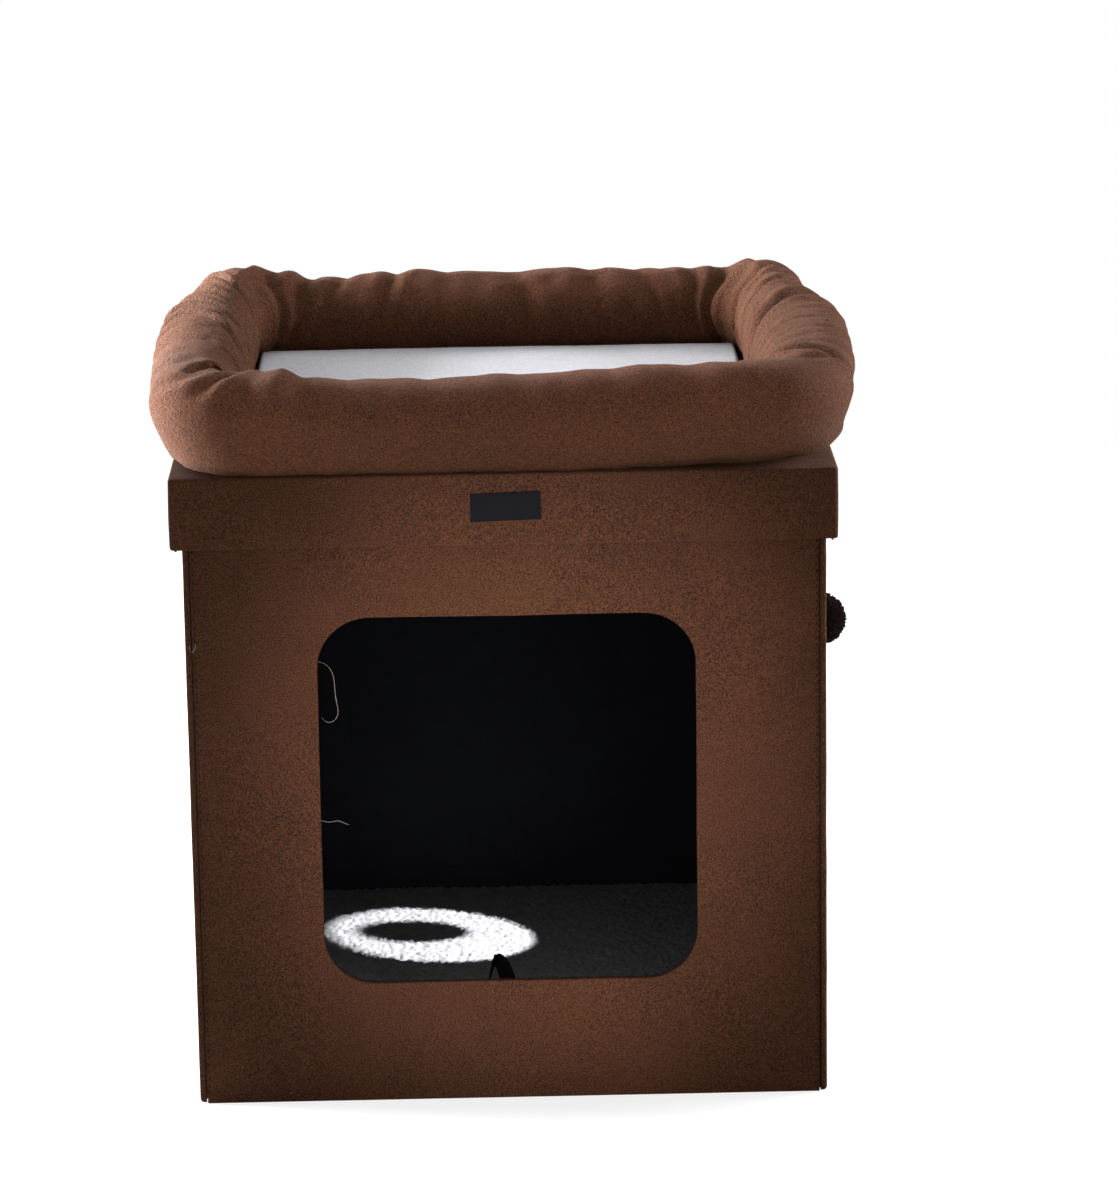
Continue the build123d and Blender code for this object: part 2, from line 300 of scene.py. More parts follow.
def weave_group():
    """Shade and height of a plain-woven tape or cloth: two crossed sets of threads."""
    found = bpy.data.node_groups.get("Weave")
    if found:
        return found
    group, entry, leave = socketed_group("Weave", (("Thread Size", 0.0005),), ("Shade", "Height"))
    vector = group.nodes.new("ShaderNodeTexCoord").outputs["Object"]
    split = group.nodes.new("ShaderNodeSeparateXYZ")
    group.links.new(vector, split.inputs[0])
    turn = math_node(group, "DIVIDE", math.pi, entry.outputs["Thread Size"])
    across = math_node(group, "ADD", split.outputs["X"], split.outputs["Y"])
    warp = math_node(group, "SINE", math_node(group, "MULTIPLY", across, turn))
    weft = math_node(group, "SINE", math_node(group, "MULTIPLY", split.outputs["Z"], turn))
    crossed = math_node(group, "MULTIPLY", warp, weft)
    height = math_node(group, "ADD", math_node(group, "MULTIPLY", crossed, 0.5), 0.5)
    group.links.new(height, leave.inputs["Height"])
    group.links.new(height, leave.inputs["Shade"])
    return group


def cloth_material(name, dark, light, group, values, roughness, bump, bump_depth, sheen=0.0, sheen_tint=None):
    """A cloth: two colours mixed by a group's shade, and a bump from its height."""
    found = bpy.data.materials.get(name)
    if found:
        return found
    material = bpy.data.materials.new(name)
    material.use_nodes = True
    tree = material.node_tree
    shader = tree.nodes["Principled BSDF"]
    effect = tree.nodes.new("ShaderNodeGroup")
    effect.node_tree = group
    for label, value in values.items():
        effect.inputs[label].default_value = value
    mix = tree.nodes.new("ShaderNodeMix")
    mix.data_type = "RGBA"
    mix.inputs["A"].default_value = (*dark, 1)
    mix.inputs["B"].default_value = (*light, 1)
    tree.links.new(effect.outputs["Shade"], mix.inputs["Factor"])
    tree.links.new(mix.outputs["Result"], shader.inputs["Base Color"])
    relief = tree.nodes.new("ShaderNodeBump")
    relief.inputs["Strength"].default_value = bump
    relief.inputs["Distance"].default_value = bump_depth
    tree.links.new(effect.outputs["Height"], relief.inputs["Height"])
    tree.links.new(relief.outputs["Normal"], shader.inputs["Normal"])
    shader.inputs["Roughness"].default_value = roughness
    shader.inputs["Specular IOR Level"].default_value = 0.12
    shader.inputs["Sheen Weight"].default_value = sheen
    shader.inputs["Sheen Roughness"].default_value = 0.45
    if sheen_tint:
        shader.inputs["Sheen Tint"].default_value = (*sheen_tint, 1)
    return material


def colours():
    """The colours that the user can change."""
    return bpy.context.scene.condo_colours


def sizes():
    """The sizes that the user can change."""
    return bpy.context.scene.condo_sizes


def shades(colour, low, high):
    """A darker and a lighter form of one colour."""
    return [tuple(min(1.0, c * share) for c in colour) for share in (low, high)]


def suede():
    c = colours()
    values = {"Grain Size": 0.00085, "Grain Amount": 3.3, "Mottle Size": 0.07, "Mottle Amount": 0.5,
              "Brush Size": 0.0024, "Brush Amount": 0.4}
    return cloth_material("brushed_suede", c.suede_dark, c.suede_light, nap_group(), values, 0.92, 0.9, 0.0016,
                          sheen=0.06, sheen_tint=(1.0, 0.50, 0.27))


def plush_suede():
    """The suede of the stuffed ring, deeper in the nap, its colours painted paler than the walls' to stand in for the
    stronger light that falls on the ring.
    """
    c = colours()
    values = {"Grain Size": 0.00085, "Grain Amount": 3.6, "Mottle Size": 0.07, "Mottle Amount": 0.5,
              "Brush Size": 0.0021, "Brush Amount": 0.45}
    # Painted light: lifts the ring's suede colours to stand in for the stronger light that falls on the ring.
    painted_light_lift = (1.16, 1.09, 1.00)
    dark, light = (tuple(p * q for p, q in zip(colour, painted_light_lift)) for colour in (c.suede_dark, c.suede_light))
    return cloth_material("plush_suede", dark, light, nap_group(), values, 0.92, 1.0, 0.0024,
                          sheen=0.06, sheen_tint=(1.0, 0.50, 0.27))


def inner_cloth():
    dark, light = shades(colours().inner_cloth, 0.6, 1.5)
    values = {"Grain Size": 0.0009, "Grain Amount": 1.0, "Mottle Size": 0.04, "Mottle Amount": 0.5}
    return cloth_material("dark_lining_cloth", dark, light, nap_group(), values, 0.95, 0.3, 0.0004)


def grey_fleece():
    dark, light = shades(colours().fleece, 0.72, 1.22)
    values = {"Grain Size": 0.0012, "Grain Amount": 1.7, "Mottle Size": 0.03, "Mottle Amount": 0.3,
              "Brush Size": 0.0028, "Brush Amount": 0.7}
    return cloth_material("fleece_pile", dark, light, nap_group(), values, 0.97, 0.3, 0.0005, sheen=0.12,
                          sheen_tint=(0.9, 0.9, 1.0))


def yarn():
    dark, light = shades(colours().yarn, 0.45, 1.7)
    values = {"Grain Size": 0.0012, "Grain Amount": 1.2, "Mottle Size": 0.01, "Mottle Amount": 0.7}
    return cloth_material("fuzzy_yarn", dark, light, nap_group(), values, 1.0, 0.4, 0.0004)


def black_ribbon():
    dark, light = shades(colours().ribbon, 0.6, 2.2)
    return cloth_material("black_tape", dark, light, weave_group(), {"Thread Size": 0.0007}, 0.85, 0.5, 0.0003)


def label_cloth():
    dark, light = shades(colours().ribbon, 0.7, 1.8)
    return cloth_material("label_weave", dark, light, weave_group(), {"Thread Size": 0.0005}, 0.85, 0.4, 0.0002)


def black_thread():
    dark, light = shades(colours().ribbon, 0.5, 1.5)
    values = {"Grain Size": 0.0006, "Grain Amount": 1.0}
    return cloth_material("sewing_thread", dark, light, nap_group(), values, 0.7, 0.3, 0.0002)


def pale_thread():
    values = {"Grain Size": 0.0006, "Grain Amount": 1.0}
    return cloth_material("loose_thread", (0.16, 0.12, 0.10), (0.42, 0.36, 0.31), nap_group(), values, 0.8, 0.2,
                          0.0001)


def fibreboard():
    values = {"Grain Size": 0.0015, "Grain Amount": 1.1, "Mottle Size": 0.03, "Mottle Amount": 0.5}
    return cloth_material("pressed_board", (0.20, 0.13, 0.075), (0.42, 0.30, 0.19), nap_group(), values, 0.8, 0.3,
                          0.0003)


def foam():
    values = {"Grain Size": 0.0014, "Grain Amount": 1.1, "Mottle Size": 0.04, "Mottle Amount": 0.2}
    return cloth_material("cut_foam", (0.58, 0.54, 0.44), (0.86, 0.83, 0.74), nap_group(), values, 0.95, 0.5, 0.0006)


def rubber_cord():
    values = {"Grain Size": 0.0005, "Grain Amount": 0.8}
    return cloth_material("cord_rubber", (0.006, 0.006, 0.007), (0.03, 0.03, 0.032), nap_group(), values, 0.55, 0.4,
                          0.0002)


# Walls


def ring_loops(outer, inner, count):
    """Loops that pass evenly from an outer outline to an inner one, closer together near both."""
    loops = []
    for k in range(count + 1):
        t = 0.5 - 0.5 * math.cos(math.pi * k / count)
        loops.append([(a[0] + (b[0] - a[0]) * t, a[1] + (b[1] - a[1]) * t) for a, b in zip(outer, inner)])
    return loops


def rounded_outline(width, height, centre, radius, rays):
    """Points of a rounded rectangle where rays from its centre cross it."""
    points = []
    half_w, half_h = width / 2, height / 2
    for angle in rays:
        dx, dy = math.cos(angle), math.sin(angle)
        reach = min(half_w / max(abs(dx), 1e-9), half_h / max(abs(dy), 1e-9))
        x, y = dx * reach, dy * reach
        corner_x, corner_y = half_w - radius, half_h - radius
        if abs(x) > corner_x and abs(y) > corner_y and radius > 0:
            cx, cy = math.copysign(corner_x, dx), math.copysign(corner_y, dy)
            b = dx * cx + dy * cy
            reach = b + math.sqrt(max(b * b - cx * cx - cy * cy + radius * radius, 0))
            x, y = dx * reach, dy * reach
        points.append((centre[0] + x, centre[1] + y))
    return points


def outer_outline(low, high, centre, rays):
    """Points of a plain rectangle where rays from a centre inside it cross it."""
    points = []
    for angle in rays:
        dx, dy = math.cos(angle), math.sin(angle)
        reach_x = ((high[0] if dx > 0 else low[0]) - centre[0]) / dx if abs(dx) > 1e-9 else math.inf
        reach_y = ((high[1] if dy > 0 else low[1]) - centre[1]) / dy if abs(dy) > 1e-9 else math.inf
        reach = min(reach_x, reach_y)
        points.append((centre[0] + dx * reach, centre[1] + dy * reach))
    return points


def rays_through(corners, centre, count):
    """Even angles, with the ones nearest the corners moved onto them."""
    angles = [2 * math.pi * i / count for i in range(count)]
    for x, y in corners:
        target = math.atan2(y - centre[1], x - centre[0]) % (2 * math.pi)
        nearest = min(range(count), key=lambda i: abs((angles[i] - target + math.pi) % (2 * math.pi) - math.pi))
        angles[nearest] = target
    return angles


def wall_panel(side, low, high, thickness, hole=None):
    """One cloth-covered wall: a thick sheet with rolled edges and a little slack, and its hole if it has one.
    low and high are its corners along the wall and up. hole is (width, height, centre, radius)."""
    along, outward = SIDES[side]
    roll = sizes().edge_roll
    if hole:
        width, height, centre, radius = hole
        corners = [(low[0], low[1]), (high[0], low[1]), (high[0], high[1]), (low[0], high[1])]
        rays = rays_through(corners, centre, 288)
        inner = rounded_outline(width, height, centre, radius, rays)
        inner = [
            (x + 0.35 * MM * wave((x, y, 0), 0.07, 3), y + 0.35 * MM * wave((x, y, 1), 0.07, 5)) for x, y in inner
        ]
        loops = ring_loops(outer_outline(low, high, centre, rays), inner, 36)
        flat = [p for loop in loops for p in loop]
        n = len(rays)
        faces = [
            (k * n + i, k * n + (i + 1) % n, (k + 1) * n + (i + 1) % n, (k + 1) * n + i)
            for k in range(len(loops) - 1)
            for i in range(n)
        ]
    else:
        cols, rows = 84, 84
        flat = [
            (low[0] + (high[0] - low[0]) * i / cols, low[1] + (high[1] - low[1]) * j / rows)
            for j in range(rows + 1)
            for i in range(cols + 1)
        ]
        faces = [
            (j * (cols + 1) + i, j * (cols + 1) + i + 1, (j + 1) * (cols + 1) + i + 1, (j + 1) * (cols + 1) + i)
            for j in range(rows)
            for i in range(cols)
        ]
    base = outward * HALF
    verts = [base + along * u + Vector((0, 0, v)) for u, v in flat]
    panel = mesh_piece(f"{side}_panel", verts, faces, suede())
    bm = bmesh.new()
    bm.from_mesh(panel.data)
    bm.faces.ensure_lookup_table()
    if bm.faces[0].normal.dot(outward) < 0:
        bmesh.ops.reverse_faces(bm, faces=bm.faces)
    bm.to_mesh(panel.data)
    bm.free()
    add_modifier(panel, "SOLIDIFY", thickness=thickness, offset=-1.0, use_rim=True)
    add_modifier(panel, "BEVEL", width=roll, segments=4, limit_method="ANGLE", angle_limit=math.radians(40))
    applied(panel)
    co = coordinates(panel)
    depth = (co - np.array(base)) @ np.array(outward)
    u = co @ np.array(along)
    edge = np.minimum(np.minimum(u - low[0], high[0] - u), np.minimum(co[:, 2] - low[1], high[1] - co[:, 2]))
    front = smoothstep(-0.6 * thickness, -0.1 * thickness, depth)
    inside = smoothstep(0, 18 * MM, edge)
    slack = np.array([
        0.30 * wave(p, 0.11, 11, 2) + 0.12 * wave(p, 0.035, 23, 2) for p in co
    ])
    tug = np.array([0.10 * wave(p, 0.012, 41, 1) for p in co]) * (1 - inside)
    lift = (slack * inside + tug - 0.25) * MM * front
    co += np.outer(lift, np.array(outward))
    set_coordinates(panel, co)
    panel.data.polygons.foreach_set("use_smooth", [True] * len(panel.data.polygons))
    return panel


def corner_column(x_side, y_side):
    """The sewn corner between two walls: a rounded upright roll with a rounded foot."""
    inset = sizes().seam_inset
    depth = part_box("corner_seam_front_left")[1].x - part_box("corner_seam_front_left")[0].x
    foot, head = 0.0, WALL_TOP
    rows = [foot, 0.35 * MM, 0.9 * MM, 1.8 * MM, 3.0 * MM]
    rows += [3.0 * MM + (head - 6 * MM) * i / 90 for i in range(1, 91)] + [head]
    segments, corner = 6, 1.7 * MM
    outline = []
    for cx, cy, start in ((1, 1, 0), (-1, 1, 90), (-1, -1, 180), (1, -1, 270)):
        for i in range(segments + 1):
            a = math.radians(start + 90 * i / segments)
            outline.append((cx * (inset / 2 - corner) + corner * math.cos(a),
                            cy * (depth / 2 - corner) + corner * math.sin(a)))
    verts = []
    for z in rows:
        rise = min(z, 3.0 * MM)
        tuck = 2.4 * MM * (1 - math.sqrt(max(0.0, 1 - (1 - rise / (3.0 * MM)) ** 2)))
        for x, y in outline:
            out_x = HALF - inset / 2 + x
            out_y = HALF - depth / 2 + y
            out_x -= tuck * (0.5 + x / inset)
            out_y -= tuck * (0.5 + y / depth)
            swell = 0.16 * MM * wave((x_side * 3.1, y_side * 2.3, z), 0.03, 7)
            verts.append(((out_x + swell * (x > 0)) * x_side, (out_y + swell * (y > 0)) * y_side, z))
    n = len(outline)
    faces = [
        (r * n + i, r * n + (i + 1) % n, (r + 1) * n + (i + 1) % n, (r + 1) * n + i)
        for r in range(len(rows) - 1)
        for i in range(n)
    ]
    faces += [tuple(range(n)), tuple(range((len(rows) - 1) * n, len(rows) * n))]
    names = {(-1, -1): "front_left", (1, -1): "front_right", (-1, 1): "back_left", (1, 1): "back_right"}
    name = names[(x_side, y_side)]
    column = mesh_piece(f"corner_roll_{name}", verts, faces, suede())
    finish_piece(column, "box", "suede", f"corner_seam_{name}")
    return column


def stitch_row(name, start, end, outward, material, pitch, length, radius=0.32 * MM):
    """A row of short thread stitches on a straight line, each bent down into the cloth at its ends."""
    start, end, outward = Vector(start), Vector(end), Vector(outward)
    run = end - start
    direction = run.normalized()
    across = direction.cross(outward)
    count = int(run.length / pitch)
    verts, faces = [], []
    sides, rings = 6, 5
    for s in range(count):
        middle = start + direction * pitch * (s + 0.5)
        base = len(verts)
        for r in range(rings):
            t = 2 * r / (rings - 1) - 1
            centre = middle + direction * (t * length / 2) - outward * radius * 1.4 * t * t
            thick = radius * (1 - 0.35 * t * t)
            for k in range(sides):
                a = 2 * math.pi * k / sides
                verts.append(centre + across * thick * math.cos(a) + outward * thick * math.sin(a))
        for r in range(rings - 1):
            for k in range(sides):
                a, b = base + r * sides + k, base + r * sides + (k + 1) % sides
                faces.append((a, b, b + sides, a + sides))
        faces.append(tuple(base + k for k in range(sides)))
        faces.append(tuple(base + (rings - 1) * sides + k for k in range(sides)))
    return mesh_piece(name, verts, faces, material)


# Bolster


def corner_reach(out, radius, angle):
    """Distance from a corner's pivot to its rounded outline, on a ray turned by angle from one arm."""
    flat = CORNER_ZONE + out
    centre = flat - radius
    off = min(angle, math.pi / 2 - angle)
    if flat * math.tan(off) <= centre:
        return flat / math.cos(off)
    return centre * (math.cos(off) + math.sin(off)) + math.sqrt(radius**2 - centre**2 * (1 - math.sin(2 * off)))


CORNER_ZONE = 95 * MM
CREST_REACH = 0.88 * CORNER_ZONE
ARM_RUN = LID_HALF - CORNER_ZONE
RING = 4 * (2 * ARM_RUN + CREST_REACH * math.pi / 2) / MM

# The bolster's section from its outer seam to its inner one, in millimetres: outward from the lid's edge,
# height above the lid, and plan radius at the corners
BOLSTER_SECTION = (
    (-4.4, 0.3, 48), (0.8, 6.4, 46), (5.2, 18.5, 45), (9.0, 30.0, 44), (10.6, 41.0, 44), (8.0, 50.5, 43),
    (0.8, 57.2, 41), (-9.0, 59.8, 38), (-20.5, 58.6, 34), (-30.0, 53.8, 28), (-37.2, 46.0, 22),
    (-40.8, 36.0, 18), (-41.4, 25.0, 16), (-39.4, 14.0, 15), (-35.0, 4.5, 15), (-33.2, 0.8, 15),
)

# Plan radius of the inner side near its top, at the corner after each arm
INNER_ROUNDS = (44, 30, 30, 15)

# Folds across each arm, in millimetres along it: where the fold starts on the outer side, where it ends on the
# inner side, its depth and its half width. Arm 0 is the front, 1 the right, 2 the back and 3 the left; each is
# measured from its middle, onwards round the ring
FOLDS = {
    0: (
        (-132, -150, 1.5, 6.0), (-112, -128, 1.2, 5.0), (-86, -92, 0.8, 7.0), (-40, -44, 0.7, 8.0),
        (10, 8, 0.8, 8.0), (62, 66, 0.6, 8.0), (104, 116, 0.9, 7.0), (130, 146, 1.2, 6.0),
    ),
    1: (
        (-133, -141, 4.4, 4.5), (-108, -141, 0.7, 3.4), (-84, -134, 0.6, 3.2), (-62, -122, 1.0, 3.8),
        (-30, -108, 0.5, 4.0), (-2, -98, 0.7, 3.6), (46, -60, 3.9, 7.0), (74, -24, 1.2, 4.5),
        (98, 40, 2.0, 5.0), (122, 104, 1.2, 4.5), (142, 138, 2.0, 5.0),
    ),
    2: (
        (-146, -150, 2.4, 5.0), (-126, -141, 1.6, 5.5), (-88, -112, 1.9, 6.5), (-58, -70, 1.0, 7.0),
        (-14, -18, 1.7, 8.0), (31, 40, 1.0, 7.0), (62, 84, 1.7, 6.0), (96, 128, 1.2, 6.0),
        (126, 142, 2.2, 5.5), (147, 155, 1.8, 4.5),
    ),
    3: (
        (-150, -96, 1.8, 5.0), (-140, -74, -0.8, 3.0), (-130, -52, 3.2, 5.0), (-120, -32, -1.0, 3.0),
        (-111, -12, 1.2, 3.4), (-96, 22, 2.6, 4.8), (-87, 36, -0.9, 2.9), (-79, 48, 1.1, 3.2), (-62, 70, 3.2, 5.0),
        (-53, 78, -0.9, 2.9), (-44, 86, 1.3, 3.4), (-31, 97, 1.0, 3.1), (-22, 102, -0.8, 2.8),
        (-13, 106, 2.9, 4.6), (4, 116, 1.1, 3.2), (11, 119, -0.8, 2.8), (18, 122, 1.2, 3.2), (40, 131, 3.2, 5.2),
        (51, 136, -0.9, 3.0), (64, 141, 1.6, 4.0),
    ),
}

# Short tucks: where each starts and ends, as a place round the ring in millimetres and a share of the section, then
# its depth and half width in millimetres
TUCKS = (
    (-147, 0.53, -150, 0.35, 2.6, 3.0), (-158, 0.44, -176, 0.30, 1.2, 3.4), (157, 0.015, 197, 0.105, 5.0, 4.2),
    (163, 0.50, 184, 0.40, 2.0, 4.0), (-121, 0.50, -118, 0.38, 1.0, 4.5), (483, 0.42, 476, 0.27, 1.8, 4.5),
    (806, 0.46, 799, 0.26, 2.0, 5.0),
)

# How far the crest of the front arm stands above or below its full height, along the arm, in millimetres
FRONT_CREST = ((-200, 0), (-150, -1.5), (-138, 0.5), (-124, 0), (-112, -4.5), (-90, -6), (-66, -6), (34, -4),
               (80, 0), (113, 0), (136, 1.5), (200, 0))
BACK_CREST = ((-200, 0), (-168, -1), (-152, -8), (-140, -7), (-126, -11), (-60, -8), (0, -9), (70, -7), (150, -8),
              (170, -1), (200, 0))

# The pocket that the left arm's cloth folds into at the front left corner, in millimetres
POCKET = ((-180, -172), (-177.5, -158), (-173.5, -145), (-168, -136), (-162.5, -134.5), (-157.5, -141), (-153.5, -153))


def section_at(t):
    """The bolster's section at t from 0 at its outer seam to 1 at its inner seam, on a smooth curve."""
    last = len(BOLSTER_SECTION) - 1
    place = min(max(t, 0), 0.99999) * last
    k = int(place)
    f = place - k
    p = [np.array(BOLSTER_SECTION[min(max(k + j, 0), last)], float) for j in (-1, 0, 1, 2)]
    return 0.5 * (
        2 * p[1] + (p[2] - p[0]) * f + (2 * p[0] - 5 * p[1] + 4 * p[2] - p[3]) * f**2
        + (3 * p[1] - p[0] - 3 * p[2] + p[3]) * f**3
    ) * MM


def ring_stations(step):
    """Places round the bolster, about step apart: arm, distance along it, corner angle, and its distance from the
    middle of the nearer arm with that arm's number."""
    straight = int(2 * ARM_RUN / step)
    turn = int(CREST_REACH * math.pi / 2 / step)
    stations = []
    for arm in range(4):
        for i in range(straight):
            along = -ARM_RUN + 2 * ARM_RUN * i / straight
            stations.append((arm, along, 0.0, along, arm))
        for i in range(turn):
            angle = math.pi / 2 * i / turn
            if 2 * i < turn:
                stations.append((arm, ARM_RUN, angle, ARM_RUN + CREST_REACH * angle, arm))
            else:
                back = ARM_RUN + CREST_REACH * (math.pi / 2 - angle)
                stations.append((arm, ARM_RUN, angle, -back, (arm + 1) % 4))
    return stations


def ring_point(arm, along, angle, out, z, radius):
    """A point of the ring, its section's point moved to one place round it."""
    if angle == 0.0:
        local = Vector((along, -(LID_HALF + out)))
    else:
        reach = corner_reach(out, radius, angle)
        local = Vector((ARM_RUN + reach * math.sin(angle), -ARM_RUN - reach * math.cos(angle)))
    local = Matrix.Rotation(arm * math.pi / 2, 2) @ local
    return Vector((local.x, local.y, LID_TOP + z))


def fold_depth(arm, place, t):
    """How far the cloth sinks in or stands up at one place, from the folds across an arm. place is in millimetres."""
    sink = 0.0
    turned = float(smoothstep(0.36, 0.97, t))
    steep = 6 * turned**0.5 * (1 - turned) ** 0.5 / 0.61 * 0.5
    edge = float(smoothstep(0.16, 0.34, t) * (1 - smoothstep(0.90, 0.99, t)))
    if edge <= 0:
        return 0.0
    for number, (outer, inner, depth, width) in enumerate(FOLDS[arm]):
        run = (inner - outer) * steep / 215
        reach = width * math.sqrt(1 + run * run) * (1 - 0.35 * turned)
        x = (place - outer - (inner - outer) * turned) / reach
        if abs(x) < 4:
            valley = math.exp(-abs(x) ** 1.5)
            ridge = 0.42 * (math.exp(-((abs(x) - 1.9) ** 2)))
            fade = 0.95 + 0.9 * noise.noise(Vector((3.1 * number + 11 * arm, 3.6 * t, 0.5)))
            sink += depth * (valley - ridge) * min(max(fade, 0.1), 1.3)
    return sink * edge


def press_pocket(co):
    """Presses the pocket into the cloth and draws its upper lip over it."""
    path = np.array(POCKET) * MM
    starts, ends = path[:-1], path[1:]
    runs = ends - starts
    lengths = np.linalg.norm(runs, axis=1)
    total = lengths.sum()
    high = smoothstep(LID_TOP + 34 * MM, LID_TOP + 50 * MM, co[:, 2])
    near = np.where((high > 0) & (np.abs(co[:, 0] + 166 * MM) < 40 * MM) & (np.abs(co[:, 1] + 152 * MM) < 45 * MM))[0]
    for i in near:
        best = None
        walked = 0.0
        for start, run, length in zip(starts, runs, lengths):
            f = min(max(float((co[i, :2] - start) @ run) / length**2, 0), 1)
            gap = co[i, :2] - start - run * f
            d = float(np.hypot(*gap))
            if best is None or d < best[0]:
                side = run[0] * gap[1] - run[1] * gap[0]
                best = (d, side, (walked + f * length) / total, gap)
            walked += length
        d, side, along, gap = best
        d /= MM
        shape = math.sin(math.pi * min(max(along, 0), 1)) ** 0.6 * high[i]
        if side < 0:
            co[i, 2] -= 8.5 * MM * shape * math.exp(-((max(d - 0.6, 0) / 4.2) ** 2))
        else:
            co[i, 2] += 1.6 * MM * shape * math.exp(-((d - 2.5) / 5.0) ** 2)
            pull = 3.6 * MM * shape * math.exp(-((d / 5.0) ** 2))
            if d > 1e-3:
                co[i, :2] -= gap / (d * MM) * min(pull, 0.9 * d * MM + 3.2 * MM * shape * math.exp(-d))


def tuck_depth(place, t):
    """How far the cloth sinks at one place round the ring, from the short tucks."""
    sink = 0.0
    for start, low, end, high, depth, width in TUCKS:
        run = np.array((end - start, (high - low) * 215))
        gap = np.array(((place - start + RING / 2) % RING - RING / 2, (t - low) * 215))
        share = float(gap @ run) / float(run @ run)
        if -0.3 < share < 1.3:
            off = abs(float(run[0] * gap[1] - run[1] * gap[0])) / math.hypot(*run)
            ends = float(smoothstep(-0.3, 0.3, share) * (1 - smoothstep(0.8, 1.3, share)))
            sink += depth * ends * (math.exp(-((off / width) ** 2)) - 0.35 * math.exp(-((off / width - 2.1) ** 2)))
    return sink


def bolster_points(step, around, folded):
    """Rows of points round the bolster, one row for each station, with its folds or as the plain stuffed shape."""
    stations = ring_stations(step)
    ts = [k / (around - 1) for k in range(around)]
    sections = [section_at(t) for t in ts]
    front_x, front_dz = zip(*FRONT_CREST)
    back_x, back_dz = zip(*BACK_CREST)
    rows = []
    for arm, along, angle, place, near_arm in stations:
        fuller = 5.0 * MM * max(0.0, math.cos(math.pi / 2 * min(1, abs(place) / (150 * MM))))
        inner_round = INNER_ROUNDS[arm] * MM
        ring = []
        for t, (out, z, radius) in zip(ts, sections):
            if t < 0.5:
                out += fuller * math.sin(math.pi * t / 0.5) ** 0.8
            else:
                share = float(smoothstep(0.45, 0.62, t) * (1 - smoothstep(0.78, 0.94, t)))
                radius += (max(inner_round, radius) - radius) * share
            ring.append(ring_point(arm, along, angle, out, z, min(radius, CORNER_ZONE + out - 1e-4)))
        centre = sum(ring, Vector()) / len(ring)
        row = []
        for t, point in zip(ts, ring):
            normal = (point - centre).normalized()
            free = math.sin(math.pi * t) ** 0.6 if 0 < t < 1 else 0
            x, y = point.x / MM, point.y / MM
            height = (point.z - LID_TOP) / (60 * MM)
            raised = float(smoothstep(0.25, 0.85, height))
            if y < -140:
                point.z += np.interp(x, front_x, front_dz) * MM * raised * float(smoothstep(-140, -166, y))
                low = float(1 - smoothstep(0, 0.15, t)) * float(smoothstep(-120, -160, y))
                point.y += 14 * MM * float(smoothstep(30, 165, x)) * low
            if y > 120:
                point.z += np.interp(x, back_x, back_dz) * MM * raised * float(smoothstep(120, 166, y))
            outer = float(smoothstep(0.05, 0.2, t) * (1 - smoothstep(0.42, 0.62, t)))
            if x < 0:
                point.x += 13.5 * MM * float(smoothstep(20, 172, y)) * outer * float(smoothstep(60, 170, -x))
            else:
                swing = 4.5 * float(smoothstep(-150, -90, y)) - 14 * float(smoothstep(0, 110, y))
                point.x += swing * MM * outer * raised * float(smoothstep(60, 170, x))
            lumps = 1.3 * wave(point, 0.060, 3, 2) + 0.5 * wave(point, 0.022, 9, 2)
            move = (lumps - 0.6) * free
            if folded:
                fine = 0.28 * wave((place * 1.0, t * 0.05, arm * 0.3), 0.006, 19, 2) * (near_arm in (1, 3))
                pucker = 0.6 * math.exp(-((t / 0.06) ** 2)) * wave(point, 0.014, 17, 1)
                sink = fold_depth(near_arm, place / MM, t) + tuck_depth(near_arm * RING / 4 + place / MM, t)
                move += pucker + fine * free - sink
            row.append(point + normal * (move * MM))
        rows.append(row)
    return stations, np.array(rows)


def ring_faces(n, m):
    """Faces of a closed ring of n rows of m points, with the flat underside that joins each row's ends."""
    faces = [
        (i * m + k, i * m + k + 1, ((i + 1) % n) * m + k + 1, ((i + 1) % n) * m + k)
        for i in range(n)
        for k in range(m - 1)
    ]
    return faces + [(i * m + m - 1, i * m, ((i + 1) % n) * m, ((i + 1) % n) * m + m - 1) for i in range(n)]


def ring_turn(arm, along, angle):
    """A station's place on a scale that runs from 0 to 8 round the ring."""
    return 2 * arm + (along + ARM_RUN) / (2 * ARM_RUN) if angle == 0 else 2 * arm + 1 + angle / (math.pi / 2)


def blurred(field, passes, wrap):
    """The field smoothed along both of its first two directions. Its first direction can close on itself."""
    for _ in range(passes):
        if wrap:
            field = (np.roll(field, 1, 0) + 2 * field + np.roll(field, -1, 0)) / 4
        else:
            field = np.concatenate((field[:1], (field[:-2] + 2 * field[1:-1] + field[2:]) / 4, field[-1:]))
        field = np.concatenate((field[:, :1], (field[:, :-2] + 2 * field[:, 1:-1] + field[:, 2:]) / 4, field[:, -1:]), 1)
    return field


